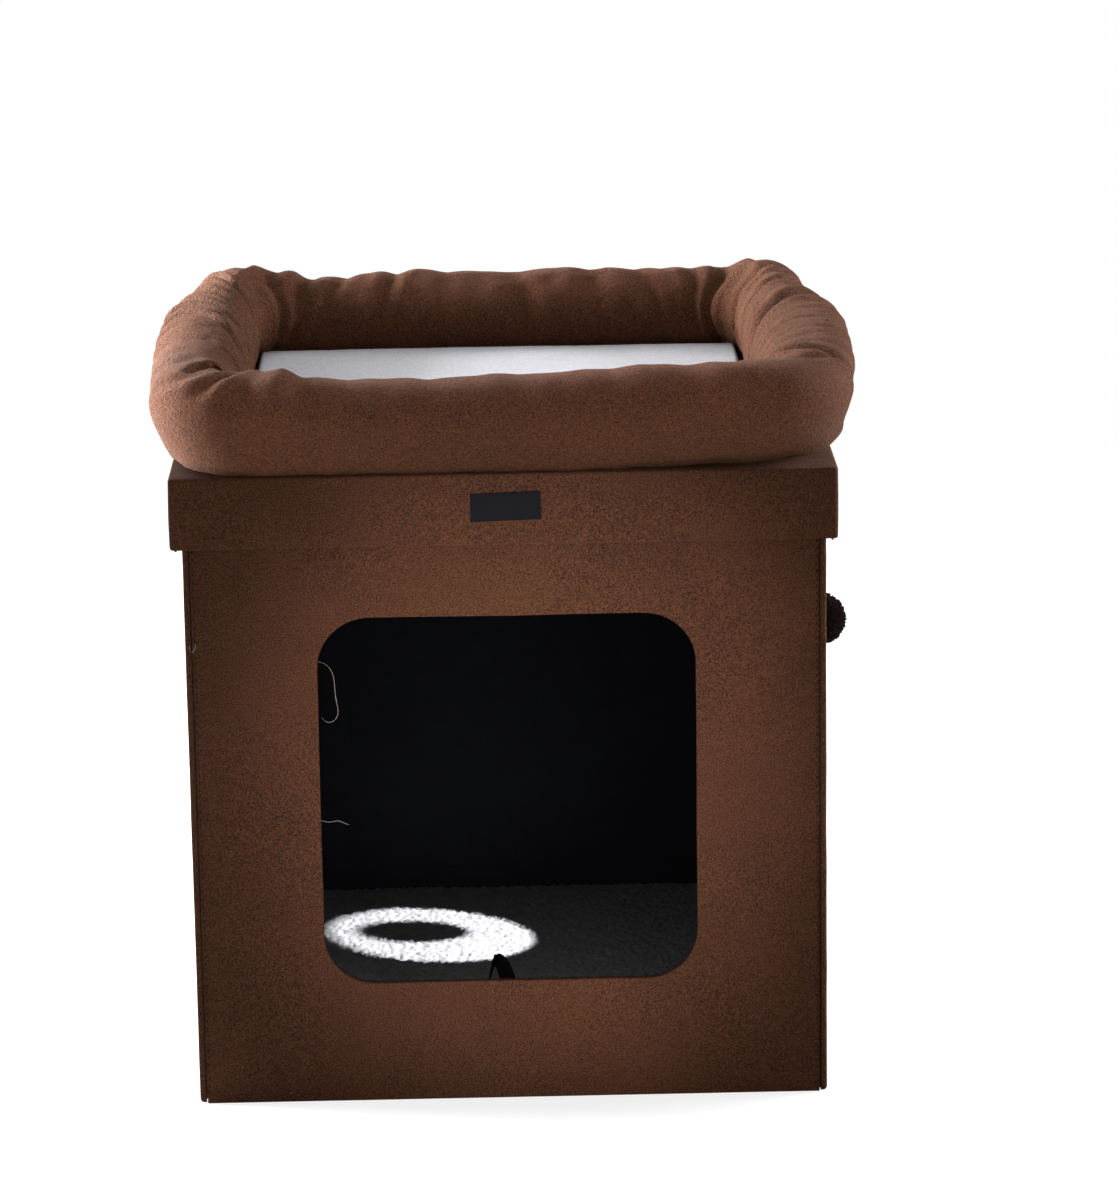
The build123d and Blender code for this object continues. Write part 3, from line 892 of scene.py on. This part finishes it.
def billowed(piece, pinned, pressure, cap):
    """Runs a plain piece as slack cloth, blown up by its filling and held at its seams.
    Returns how far each point moved, never more than cap, and removes the piece."""
    seams = piece.vertex_groups.new(name="seams")
    seams.add(pinned, 1.0, "REPLACE")
    cloth = add_modifier(piece, "CLOTH")
    cloth.settings.quality = 6
    cloth.settings.mass = 0.25
    cloth.settings.tension_stiffness = 20
    cloth.settings.compression_stiffness = 20
    cloth.settings.shear_stiffness = 5
    cloth.settings.bending_stiffness = 0.15
    cloth.settings.vertex_group_mass = "seams"
    cloth.settings.shrink_min = -sizes().cloth_slack
    cloth.settings.use_pressure = True
    cloth.settings.uniform_pressure_force = pressure
    cloth.settings.effector_weights.gravity = 0
    cloth.collision_settings.use_collision = False
    scene = bpy.context.scene
    start = coordinates(piece)
    for number in range(1, 21):
        scene.frame_set(number)
    evaluated = piece.evaluated_get(bpy.context.evaluated_depsgraph_get())
    end = np.empty(len(start) * 3)
    evaluated.data.vertices.foreach_get("co", end)
    scene.frame_set(1)
    mesh = piece.data
    bpy.data.objects.remove(piece)
    bpy.data.meshes.remove(mesh)
    moved = end.reshape(-1, 3) - start
    far = np.linalg.norm(moved, axis=1, keepdims=True)
    return moved * cap / (cap + far)


def bolster_mesh():
    """The bolster's cloth as a closed ring: crowned, drawn in at its seams and folded across its arms, with the
    wrinkles that a coarse copy of it gathers when it is run as slack cloth."""
    around, coarse = 92, 46
    stations, fine = bolster_points(2.3 * MM, around, True)
    places, plain = bolster_points(5.0 * MM, coarse, False)
    n = len(places)
    copy = mesh_piece("plain_ring", plain.reshape(-1, 3), ring_faces(n, coarse), plush_suede())
    pinned = [i * coarse + k for i in range(n) for k in (0, 1, coarse - 2, coarse - 1)]
    moved = billowed(copy, pinned, 4.0, 12 * MM).reshape(n, coarse, 3)
    moved -= blurred(moved, 14, True)
    turns = np.array([ring_turn(*p[:3]) for p in places])
    in_front = smoothstep(7.2, 7.8, turns) + 1 - smoothstep(1.2, 1.8, turns)
    moved *= (0.9 - 0.55 * in_front)[:, None, None]
    rows = np.linspace(0, coarse - 1, around)
    low = np.minimum(rows.astype(int), coarse - 2)
    share = (rows - low)[None, :, None]
    moved = moved[:, low] * (1 - share) + moved[:, low + 1] * share
    wanted = np.array([ring_turn(*p[:3]) for p in stations])
    for k in range(around):
        for axis in range(3):
            fine[:, k, axis] += np.interp(wanted, turns, moved[:, k, axis], period=8)
    ring = mesh_piece("bolster", fine.reshape(-1, 3), ring_faces(len(stations), around), plush_suede())
    co = coordinates(ring)
    press_pocket(co)
    set_coordinates(ring, co)
    return ring


# Pads


def pad_mesh(name, low, high, edge_height, step, crown, nap, curl, material, seed):
    """A crowned pad in the box from low to high, its top roughened by tufts nap high and curl millimetres apart."""
    width, depth, thick = high.x - low.x, high.y - low.y, high.z - low.z
    cols, rows = int(width / step), int(depth / step)
    draw = 1.6 * MM
    verts, faces = [], []
    for j in range(rows + 1):
        for i in range(cols + 1):
            x, y = low.x + width * i / cols, low.y + depth * j / rows
            ex, ey = 2 * i / cols - 1, 2 * j / rows - 1
            rise = (1 - ex * ex) * (1 - ey * ey)
            near = min(width / 2 * (1 - abs(ex)), depth / 2 * (1 - abs(ey)))
            roll = 3.0 * MM
            drop = edge_height * 0.30 * (1 - math.sqrt(max(0, 1 - (1 - min(near / roll, 1)) ** 2)))
            z = low.z + edge_height + crown * rise - drop
            spot = Vector((x, y, seed))
            warp = 1.6 * MM * noise.noise_vector(spot / (4.5 * MM))
            tuft = noise.voronoi((spot + warp) / (curl * MM))[0][0]
            tips = noise.noise((spot.yxz - warp) / (1.6 * MM))
            pile = nap * (0.65 - 1.3 * min(tuft, 0.8) + 0.55 * tips)
            lump = 0.5 * MM * wave((x, y, seed), 0.045, seed + 5, 2)
            inside = min(1, near / (4 * MM))
            verts.append((x * (1 - draw * (1 - inside) / width), y, min(z + (pile + lump) * inside, high.z + nap)))
    n = cols + 1
    top = len(verts)
    for j in range(rows):
        for i in range(cols):
            a = j * n + i
            faces.append((a, a + 1, a + n + 1, a + n))
    rim = [i for i in range(cols + 1)] + [j * n + cols for j in range(1, rows + 1)]
    rim += [rows * n + i for i in range(cols - 1, -1, -1)] + [j * n for j in range(rows - 1, 0, -1)]
    middle = Vector(((low.x + high.x) / 2, (low.y + high.y) / 2, 0))
    levels = ((0.72, 1.2 * MM), (0.45, 1.4 * MM), (0.2, 0.6 * MM), (0.0, -1.0 * MM))
    previous = rim
    for share, out in levels:
        current = []
        for index in rim:
            x, y, z = verts[index]
            away = (Vector((x, y, 0)) - middle)
            push = Vector((math.copysign(out, away.x) if abs(away.x) > width / 2 - 1e-6 else 0,
                           math.copysign(out, away.y) if abs(away.y) > depth / 2 - 1e-6 else 0, 0))
            fuzz = 0.3 * MM * wave((x, y, share), 2.5 * MM, seed, 1) if share else 0
            current.append(len(verts))
            verts.append((x + push.x + fuzz - math.copysign(1.4 * MM, away.x),
                          y + push.y + fuzz - math.copysign(1.4 * MM, away.y),
                          low.z + (z - low.z) * share))
        count = len(rim)
        for k in range(count):
            faces.append((previous[k], previous[(k + 1) % count], current[(k + 1) % count], current[k]))
        previous = current
    faces.append(tuple(previous))
    return mesh_piece(name, verts, faces, material)


# Operators: one for each piece or group of like pieces


class CONDO_OT_walls(bpy.types.Operator):
    """Builds the four suede walls, with the doorway and the round window"""

    bl_idname = "condo.walls"
    bl_label = "Walls"

    def execute(self, context):
        seam = sizes().seam_inset
        thick = 4.1 * MM
        gap = 0.8 * MM
        door = (217.7 * MM, 219.9 * MM, (0.0, 181.65 * MM), 30 * MM)
        window = (84 * MM, 84 * MM, (0.0, 220 * MM), 42 * MM)
        side_reach = HALF - (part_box("corner_seam_front_left")[1].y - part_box("corner_seam_front_left")[0].y)
        for side in SIDES:
            reach = HALF - seam - gap if side in ("front", "back") else side_reach - gap
            hole = {"front": door, "right": window}.get(side)
            panel = wall_panel(side, (-reach, 0.0), (reach, WALL_TOP), thick, hole)
            finish_piece(panel, "box", "suede", f"{side}_cover")
        return {"FINISHED"}


class CONDO_OT_corners(bpy.types.Operator):
    """Builds the rolled corner seams and their stitches"""

    bl_idname = "condo.corners"
    bl_label = "Corner seams"

    def execute(self, context):
        s = sizes()
        for x_side in (-1, 1):
            for y_side in (-1, 1):
                corner_column(x_side, y_side)
                x = x_side * (HALF - s.seam_inset - 1.9 * MM)
                y = y_side * (HALF - 0.15 * MM)
                name = f"stitches_{'front' if y_side < 0 else 'back'}_{'left' if x_side < 0 else 'right'}"
                row = stitch_row(name, (x, y, 4 * MM), (x, y, WALL_TOP - 4 * MM), (0, y_side, 0),
                                 black_thread(), s.stitch_pitch, s.stitch_length)
                finish_piece(row, "box", "ribbon")
        return {"FINISHED"}


class CONDO_OT_linings(bpy.types.Operator):
    """Finishes the inner cloth, the boards and the hinge tape"""

    bl_idname = "condo.linings"
    bl_label = "Linings and boards"

    def execute(self, context):
        finishes = {
            "inner_cloth": inner_cloth(), "fibreboard": fibreboard(), "foam": foam(), "stuffing": foam(),
            "seam": suede(), "suede": suede(), "grey_fleece": grey_fleece(), "woven_patch": label_cloth(),
            "ribbon": black_ribbon(), "pompom_yarn": yarn(), "elastic": rubber_cord(),
        }
        for part in frame["record"]["subparts"]:
            node = frame["nodes"][part["node"]]
            node.data.materials.clear()
            node.data.materials.append(finishes[part["material_slot"]])
        return {"FINISHED"}


class CONDO_OT_lid(bpy.types.Operator):
    """Builds the lid's suede cap with its turned hem, and the bare label patch"""

    bl_idname = "condo.lid"
    bl_label = "Lid"

    def execute(self, context):
        bottom = LID_LOW.z
        corner = 2.6 * MM
        height = LID_TOP - bottom
        profile = [(-4.0, -0.0), (-3.0, 0.0), (-1.6, 0.0), (-0.7, 0.25), (-0.2, 0.8), (0.0, 1.6)]
        profile = [(o * MM, z * MM) for o, z in profile]
        profile += [(0.0, 1.6 * MM + (height - 3.4 * MM) * i / 16) for i in range(1, 17)]
        profile += [(-0.15 * MM, height - 0.9 * MM), (-0.6 * MM, height - 0.3 * MM), (-1.5 * MM, height)]
        profile += [(-(1.5 + 189 * (i / 24) ** 1.0) * MM, height) for i in range(1, 25)]
        outline = []
        per_side = 92
        flat = LID_HALF - corner
        for arm in range(4):
            turn = Matrix.Rotation(arm * math.pi / 2, 2)
            for i in range(per_side):
                outline.append((turn @ Vector((-flat + 2 * flat * i / per_side, -LID_HALF)), turn @ Vector((0, -1))))
            for i in range(8):
                a = math.pi / 2 * i / 8
                normal = Vector((math.sin(a), -math.cos(a)))
                outline.append((turn @ (Vector((flat, -flat)) + corner * normal), turn @ normal))
        verts = []
        for out, z in profile:
            for point, normal in outline:
                shrink = 1 + out / LID_HALF
                if out > -6 * MM:
                    place = point + normal * out
                else:
                    place = point * shrink
                x, y, zz = place.x, place.y, bottom + z
                side = 1.0 if 0 < z < height - 1 * MM else 0.0
                belly = 0.2 * MM * math.sin(math.pi * min(z / height, 1)) * side
                ripple = 0.4 * MM * wave((x, y, zz), 0.06, 51, 2) * side
                hem = 0.5 * MM * wave((x, y, 0), 0.08, 61, 2) * max(0, 1 - z / (6 * MM)) if z < 6 * MM else 0
                verts.append((x + normal.x * (belly + ripple), y + normal.y * (belly + ripple), zz + abs(hem)))
        n = len(outline)
        faces = [
            (r * n + i, r * n + (i + 1) % n, (r + 1) * n + (i + 1) % n, (r + 1) * n + i)
            for r in range(len(profile) - 1)
            for i in range(n)
        ]
        faces.append(tuple(range((len(profile) - 1) * n, len(profile) * n)))
        cap = mesh_piece("lid_cap", verts, faces, suede())
        add_modifier(cap, "SOLIDIFY", thickness=1.1 * MM, offset=-1.0, use_rim=True)
        applied(cap)
        finish_piece(cap, "lid", "suede", "lid_cover")
        self.label()
        return {"FINISHED"}

    def label(self):
        """The bare patch: a thin woven rectangle with soft edges, a little proud of the skirt."""
        low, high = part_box("label_patch")
        centre = (low + high) / 2
        tilt = Matrix.Rotation(math.radians(-1.5), 4, "Y")
        width, height = 40.4 * MM, 16.5 * MM
        cols, rows = 40, 16
        verts, faces = [], []
        for j in range(rows + 1):
            for i in range(cols + 1):
                u, v = 2 * i / cols - 1, 2 * j / rows - 1
                swell = 0.25 * MM * (1 - u**6) * (1 - v**6) + 0.10 * MM * wave((u * 0.02, 0, v * 0.01), 0.008, 71)
                spot = tilt @ Vector((u * width / 2, 0, v * height / 2))
                verts.append(Vector((centre.x, low.y - 0.55 * MM, centre.z)) + spot - Vector((0, swell, 0)))
        n = cols + 1
        for j in range(rows):
            for i in range(cols):
                a = j * n + i
                faces.append((a, a + 1, a + n + 1, a + n))
        patch = mesh_piece("blank_label", verts, faces, label_cloth())
        add_modifier(patch, "SOLIDIFY", thickness=0.8 * MM, offset=-1.0, use_rim=True)
        add_modifier(patch, "BEVEL", width=0.2 * MM, segments=2, limit_method="ANGLE",
                     angle_limit=math.radians(40))
        applied(patch)
        finish_piece(patch, "lid", "woven_patch", "label_patch")


class CONDO_OT_bolster(bpy.types.Operator):
    """Builds the stuffed ring on the lid"""

    bl_idname = "condo.bolster"
    bl_label = "Bolster"

    def execute(self, context):
        ring = bolster_mesh()
        finish_piece(ring, "lid", "suede", "bolster_cover", "bolster_fill")
        return {"FINISHED"}


class CONDO_OT_pads(bpy.types.Operator):
    """Builds the fleece bed pad and the fleece floor panel"""

    bl_idname = "condo.pads"
    bl_label = "Fleece pads"

    def execute(self, context):
        low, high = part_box("bed_fleece")
        spread = Vector((2.6 * MM, 2.6 * MM, 0))
        pad = pad_mesh("bed_pad", low - spread, high + spread, 8 * MM, 1.1 * MM, 6.5 * MM, 0.3 * MM, 2.5,
                       grey_fleece(), 2.0)
        finish_piece(pad, "lid", "grey_fleece", "bed_fleece", "bed_foam")
        low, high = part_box("floor_fleece")
        high = high - Vector((0, 3.5 * MM, 0))
        pad = pad_mesh("floor_pad", low, high, 18 * MM, 1.15 * MM, 5.5 * MM, 2.1 * MM, 3.3, grey_fleece(), 7.0)
        finish_piece(pad, "floor_panel", "grey_fleece", "floor_fleece", "floor_foam")
        return {"FINISHED"}


class CONDO_OT_pull_loop(bpy.types.Operator):
    """Builds the ribbon loop that pulls up the floor panel"""

    bl_idname = "condo.pull_loop"
    bl_label = "Pull loop"

    def execute(self, context):
        low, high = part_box("pull_loop")
        left, right, front, foot = low.x / MM, high.x / MM, low.y / MM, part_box("floor_fleece")[1].z / MM
        route = (
            (left - 1.5, front + 7, foot - 6.5, 97), (left - 1.3, front + 9, foot + 6, 95),
            (left - 0.4, front + 15, foot + 20, 92), (left + 1.6, front + 24, foot + 36, 88),
            (left + 4.0, front + 30, foot + 43.5, 78), (left + 6.2, front + 33, foot + 47, 52),
            (left + 9.0, front + 31, foot + 43.5, 24), (left + 12.4, front + 26, foot + 35, 8),
            (right - 6.8, front + 19, foot + 23, 2), (right - 3.2, front + 13, foot + 12, 0),
            (right - 0.8, front + 9, foot + 3, 8), (right + 0.8, front + 7, foot - 6.5, 24),
        )
        steps, half, thick = 110, 4.5, 0.55
        points = np.array(route)
        knots = np.linspace(0, 1, len(points))
        rows = np.array([[np.interp(t, knots, points[:, k]) for k in range(4)] for t in np.linspace(0, 1, steps)])
        for _ in range(10):
            rows[1:-1] = (rows[:-2] + 2 * rows[1:-1] + rows[2:]) / 4
        verts, faces = [], []
        for i, (x, y, z, turn) in enumerate(rows):
            ahead = Vector((rows[min(i + 1, steps - 1)] - rows[max(i - 1, 0)])[:3]).normalized()
            side = Vector((math.cos(math.radians(turn)), math.sin(math.radians(turn)), 0))
            side = (side - ahead * side.dot(ahead)).normalized()
            face = ahead.cross(side)
            for u, v in ((-1, -0.4), (-0.92, -1), (-0.3, -1), (0.3, -1), (0.92, -1), (1, -0.4),
                         (1, 0.4), (0.92, 1), (0.3, 1), (-0.3, 1), (-0.92, 1), (-1, 0.4)):
                cup = 0.5 * (1 - u * u)
                verts.append((Vector((x, y, z)) + side * u * half + face * (v * thick + cup)) * MM)
        n = 12
        faces = [
            (r * n + k, r * n + (k + 1) % n, (r + 1) * n + (k + 1) % n, (r + 1) * n + k)
            for r in range(steps - 1)
            for k in range(n)
        ]
        faces += [tuple(range(n)), tuple(range((steps - 1) * n, steps * n))]
        loop = mesh_piece("ribbon_loop", verts, faces, black_ribbon())
        finish_piece(loop, "floor_panel", "ribbon", "pull_loop")
        return {"FINISHED"}


class CONDO_OT_threads(bpy.types.Operator):
    """Builds the loose thread ends at the doorway's edge and the lint on the suede"""

    bl_idname = "condo.threads"
    bl_label = "Loose threads"

    def execute(self, context):
        front = -HALF
        ends = (
            ("thread_upper", ((-108.2, 1.5, 266), (-103, 0.2, 264), (-99.6, -0.8, 258), (-98.6, -0.2, 246),
                              (-97.4, 0.4, 236), (-99.8, 0.4, 231), (-104, 0.2, 230.4), (-107, 0.8, 233))),
            ("thread_lower", ((-109.2, 1.2, 171.2), (-104, -0.6, 170.6), (-99, -0.9, 171.4), (-95, -0.4, 169.6),
                              (-92.6, 0.2, 168.6))),
            ("thread_seam", ((-181.6, -0.5, 277), (-180.6, -1.2, 273.6), (-178.9, -1.4, 274.6), (-177.8, -0.7, 277.2),
                             (-179.2, -0.4, 279))),
            ("lint_low", ((-159.5, -0.3, 21.5), (-158.4, -0.8, 22.3), (-157.8, -0.3, 21.7))),
            ("lint_foot", ((-131.5, -0.3, 5.2), (-130.6, -0.8, 5.9), (-129.6, -0.3, 5.5))),
        )
        for name, points in ends:
            route = [Vector((x * MM, front + y * MM, z * MM)) for x, y, z in points]
            self.thread(name, route)
        return {"FINISHED"}

    def thread(self, name, route):
        """A fine tube along a smooth line through the points."""
        line = []
        for k in range(len(route) - 1):
            a, b, c, d = (route[min(max(k + j, 0), len(route) - 1)] for j in (-1, 0, 1, 2))
            for i in range(6):
                f = i / 6
                line.append(0.5 * (2 * b + (c - a) * f + (2 * a - 5 * b + 4 * c - d) * f * f
                                   + (3 * b - a - 3 * c + d) * f**3))
        line.append(route[-1])
        verts, faces = [], []
        sides = 5
        for i, point in enumerate(line):
            ahead = (line[min(i + 1, len(line) - 1)] - line[max(i - 1, 0)]).normalized()
            side = ahead.orthogonal().normalized()
            other = ahead.cross(side)
            thick = 0.14 * MM * (0.4 + 0.6 * math.sin(math.pi * min(max(i / (len(line) - 1), 0.06), 0.94)))
            for k in range(sides):
                a = 2 * math.pi * k / sides
                verts.append(point + (side * math.cos(a) + other * math.sin(a)) * thick)
        for r in range(len(line) - 1):
            for k in range(sides):
                a, b = r * sides + k, r * sides + (k + 1) % sides
                faces.append((a, b, b + sides, a + sides))
        faces += [tuple(range(sides)), tuple(range((len(line) - 1) * sides, len(line) * sides))]
        piece = mesh_piece(name, verts, faces, pale_thread())
        finish_piece(piece, "box", "suede")


class CONDO_OT_ball(bpy.types.Operator):
    """Builds the yarn ball that hangs in the window"""

    bl_idname = "condo.ball"
    bl_label = "Hanging ball"

    def execute(self, context):
        rng = random.Random(5)
        verts, faces = [], []
        golden = math.pi * (3 - math.sqrt(5))
        count = sizes().yarn_strands
        for i in range(count):
            y = 1 - 2 * (i + 0.5) / count
            ring = math.sqrt(1 - y * y)
            a = golden * i
            direction = Vector((ring * math.cos(a), y, ring * math.sin(a)))
            side = direction.orthogonal().normalized()
            other = direction.cross(side)
            sway = (side * rng.uniform(-1, 1) + other * rng.uniform(-1, 1)) * 0.9 * MM
            reach = BALL_RADIUS * rng.uniform(0.96, 1.09)
            base = len(verts)
            for share, thick in ((0.45, 0.45), (0.72, 0.55), (0.90, 0.62), (1.0, 0.25)):
                centre = BALL_CENTRE + Vector((1.2 * MM, 0, 0)) + direction * reach * share + sway * share**2
                spin = rng.uniform(0, 1)
                for k in range(4):
                    b = math.pi / 2 * k + spin
                    verts.append(centre + (side * math.cos(b) + other * math.sin(b)) * thick * MM)
            for r in range(3):
                for k in range(4):
                    p, q = base + r * 4 + k, base + r * 4 + (k + 1) % 4
                    faces.append((p, q, q + 4, p + 4))
            faces.append(tuple(base + 12 + k for k in range(4)))
            faces.append(tuple(base + k for k in range(4)))
        ball = mesh_piece("pompom", verts, faces, yarn())
        finish_piece(ball, "toy_ball", "pompom_yarn", "toy_pompom")
        return {"FINISHED"}


WALL_PIECES = ("front_panel", "back_panel", "left_panel", "right_panel", "corner_", "lid_cap")


class CONDO_OT_stage(bpy.types.Operator):
    """Builds the floor, the lights and the camera"""

    bl_idname = "condo.stage"
    bl_label = "Stage"

    def execute(self, context):
        self.camera(context)
        self.ground(context)
        self.lights(context)
        context.scene.view_settings.view_transform = "Standard"
        return {"FINISHED"}

    def camera(self, context):
        """A camera where the photograph was taken from, with its pitch, turn and roll."""
        pitch, yaw, roll = math.radians(13.898), math.radians(0.969), math.radians(-0.855)
        forward = Vector((math.sin(yaw) * math.cos(pitch), math.cos(yaw) * math.cos(pitch), -math.sin(pitch)))
        right = Vector((math.cos(yaw), -math.sin(yaw), 0))
        up = right.cross(forward)
        turned_right = math.cos(roll) * right + math.sin(roll) * up
        turned_up = -math.sin(roll) * right + math.cos(roll) * up
        data = bpy.data.cameras.new("photo_camera")
        data.sensor_width = 36
        data.lens = 4854.65 / 1200 * 36
        data.clip_end = 50
        camera = bpy.data.objects.new("photo_camera", data)
        axes = Matrix((turned_right, turned_up, -forward)).transposed()
        camera.matrix_world = Matrix.Translation(Vector((-15.25, -2880.75, 967.53)) * MM) @ axes.to_4x4()
        context.scene.collection.objects.link(camera)
        context.scene.camera = camera

    def ground(self, context):
        """A plain pale floor that fades into the white background."""
        material = bpy.data.materials.new("pale_floor")
        material.use_nodes = True
        tree = material.node_tree
        shader = tree.nodes["Principled BSDF"]
        shader.inputs["Base Color"].default_value = (0.25, 0.25, 0.25, 1)
        shader.inputs["Roughness"].default_value = 0.9
        shader.inputs["Emission Color"].default_value = (1, 1, 1, 1)
        seen = tree.nodes.new("ShaderNodeLightPath")
        lift = math_node(tree, "MULTIPLY", seen.outputs["Is Camera Ray"], 0.78)
        tree.links.new(lift, shader.inputs["Emission Strength"])
        place = tree.nodes.new("ShaderNodeTexCoord")
        reach = tree.nodes.new("ShaderNodeVectorMath")
        reach.operation = "LENGTH"
        tree.links.new(place.outputs["Object"], reach.inputs[0])
        fade = tree.nodes.new("ShaderNodeMapRange")
        fade.interpolation_type = "SMOOTHSTEP"
        fade.inputs["From Min"].default_value = 0.75
        fade.inputs["From Max"].default_value = 1.7
        tree.links.new(reach.outputs["Value"], fade.inputs["Value"])
        clear = tree.nodes.new("ShaderNodeBsdfTransparent")
        mix = tree.nodes.new("ShaderNodeMixShader")
        tree.links.new(fade.outputs["Result"], mix.inputs[0])
        tree.links.new(shader.outputs[0], mix.inputs[1])
        tree.links.new(clear.outputs[0], mix.inputs[2])
        tree.links.new(mix.outputs[0], tree.nodes["Material Output"].inputs["Surface"])
        half = 2.0
        floor = mesh_piece("studio_floor", [(-half, -half, 0), (half, -half, 0), (half, half, 0), (-half, half, 0)],
                           [(0, 1, 2, 3)], material, smooth=False)
        floor.location.z = -0.2 * MM

    def lights(self, context):
        """Soft light from both sides and above, a pale world, and the small lamp that shines in at the window."""
        world = bpy.data.worlds.new("studio")
        context.scene.world = world
        world.use_nodes = True
        tree = world.node_tree
        background = tree.nodes["Background"]
        background.inputs["Color"].default_value = (1, 1, 1, 1)
        seen = tree.nodes.new("ShaderNodeLightPath")
        strength = tree.nodes.new("ShaderNodeMapRange")
        strength.inputs["To Min"].default_value = 0.33
        strength.inputs["To Max"].default_value = 1.0
        tree.links.new(seen.outputs["Is Camera Ray"], strength.inputs["Value"])
        tree.links.new(strength.outputs["Result"], background.inputs["Strength"])
        for name, place, size, power in (
            ("front_softbox", (0.3, -3.0, 0.9), 2.0, 16),
            ("left_softbox", (-2.0, 0.60, 0.55), 1.2, 440),
            ("right_softbox", (2.0, 0.60, 0.75), 1.2, 60),
            ("top_softbox", (0.0, 0.1, 2.6), 1.8, 10),
            ("ring_softbox", (0.2, -2.6, 0.42), 0.8, 40),
            ("back_softbox", (-1.7, 2.0, 0.9), 1.6, 120),
        ):
            data = bpy.data.lights.new(name, "AREA")
            data.size = size
            data.energy = power
            lamp = bpy.data.objects.new(name, data)
            lamp.location = place
            aim = Vector((0, 0, 0.25)) - Vector(place)
            lamp.rotation_euler = aim.to_track_quat("-Z", "Y").to_euler()
            context.scene.collection.objects.link(lamp)
        data = bpy.data.lights.new("front_spot", "SPOT")
        data.energy = 500
        data.spot_size = math.radians(10.2)
        data.spot_blend = 1.0
        data.shadow_soft_size = 0.03
        spot = bpy.data.objects.new("front_spot", data)
        spot.location = (0.0, -3.1, 0.36)
        aim = Vector((0.010, -0.184, 0.205)) - Vector(spot.location)
        spot.rotation_euler = aim.to_track_quat("-Z", "Y").to_euler()
        spot.scale = (0.78, 1, 1)
        context.scene.collection.objects.link(spot)
        data = bpy.data.lights.new("window_lamp", "SPOT")
        data.energy = 200
        data.spot_size = math.radians(18)
        data.shadow_soft_size = 9 * MM
        lamp = bpy.data.objects.new("window_lamp", data)
        lamp.location = (0.800, -0.160, 0.760)
        aim = Vector((-0.04, 0.05, 0.025)) - Vector(lamp.location)
        lamp.rotation_euler = aim.to_track_quat("-Z", "Y").to_euler()
        context.scene.collection.objects.link(lamp)
        floor = bpy.data.objects["studio_floor"]
        inside = bpy.data.collections.new("lit_through_window")
        outside = bpy.data.collections.new("lit_from_the_front")
        ring = bpy.data.collections.new("lit_by_the_ring_softbox")
        off_walls = bpy.data.collections.new("lit_from_the_left")
        flat_front = bpy.data.collections.new("lit_by_the_spot")
        for piece in bpy.data.objects:
            if piece.type != "MESH":
                continue
            if not piece.name.startswith(WALL_PIECES):
                off_walls.objects.link(piece)
            if "floor_panel" in (body_of(piece) or ()):
                inside.objects.link(piece)
                continue
            outside.objects.link(piece)
            if piece.name == "bolster":
                ring.objects.link(piece)
            elif piece not in (*frame["nodes"].values(), floor):
                flat_front.objects.link(piece)
        lamp.light_linking.receiver_collection = inside
        spot.light_linking.receiver_collection = flat_front
        bpy.data.objects["ring_softbox"].light_linking.receiver_collection = ring
        bpy.data.objects["left_softbox"].light_linking.receiver_collection = off_walls
        bpy.data.objects["front_softbox"].light_linking.receiver_collection = outside
        for name in ("toy_tab", "toy_knot", "toy_elastic"):
            frame["nodes"][name].visible_shadow = False


STEPS = ("linings", "walls", "corners", "lid", "bolster", "pads", "pull_loop", "ball", "threads", "stage")


class CONDO_PT_panel(bpy.types.Panel):
    """Lists the steps that build the condo, with its colours and sizes."""

    bl_idname = "CONDO_PT_panel"
    bl_label = "Cat Condo"
    bl_space_type = "VIEW_3D"
    bl_region_type = "UI"
    bl_category = "Cat Condo"

    def draw(self, context):
        for group in (colours(), sizes()):
            box = self.layout.box()
            for key in group.__annotations__:
                box.prop(group, key)
        for step in STEPS:
            self.layout.operator(f"condo.{step}")


CLASSES = (
    CondoColours, CondoSizes, CONDO_OT_linings, CONDO_OT_walls, CONDO_OT_corners, CONDO_OT_lid, CONDO_OT_bolster,
    CONDO_OT_pads, CONDO_OT_pull_loop, CONDO_OT_ball, CONDO_OT_threads, CONDO_OT_stage, CONDO_PT_panel,
)


def register():
    for cls in CLASSES:
        bpy.utils.register_class(cls)
    bpy.types.Scene.condo_colours = bpy.props.PointerProperty(type=CondoColours)
    bpy.types.Scene.condo_sizes = bpy.props.PointerProperty(type=CondoSizes)


def unregister():
    del bpy.types.Scene.condo_sizes
    del bpy.types.Scene.condo_colours
    for cls in reversed(CLASSES):
        bpy.utils.unregister_class(cls)


def main():
    register()
    for step in STEPS:
        getattr(bpy.ops.condo, step)()


if __name__ == "__main__":
    main()
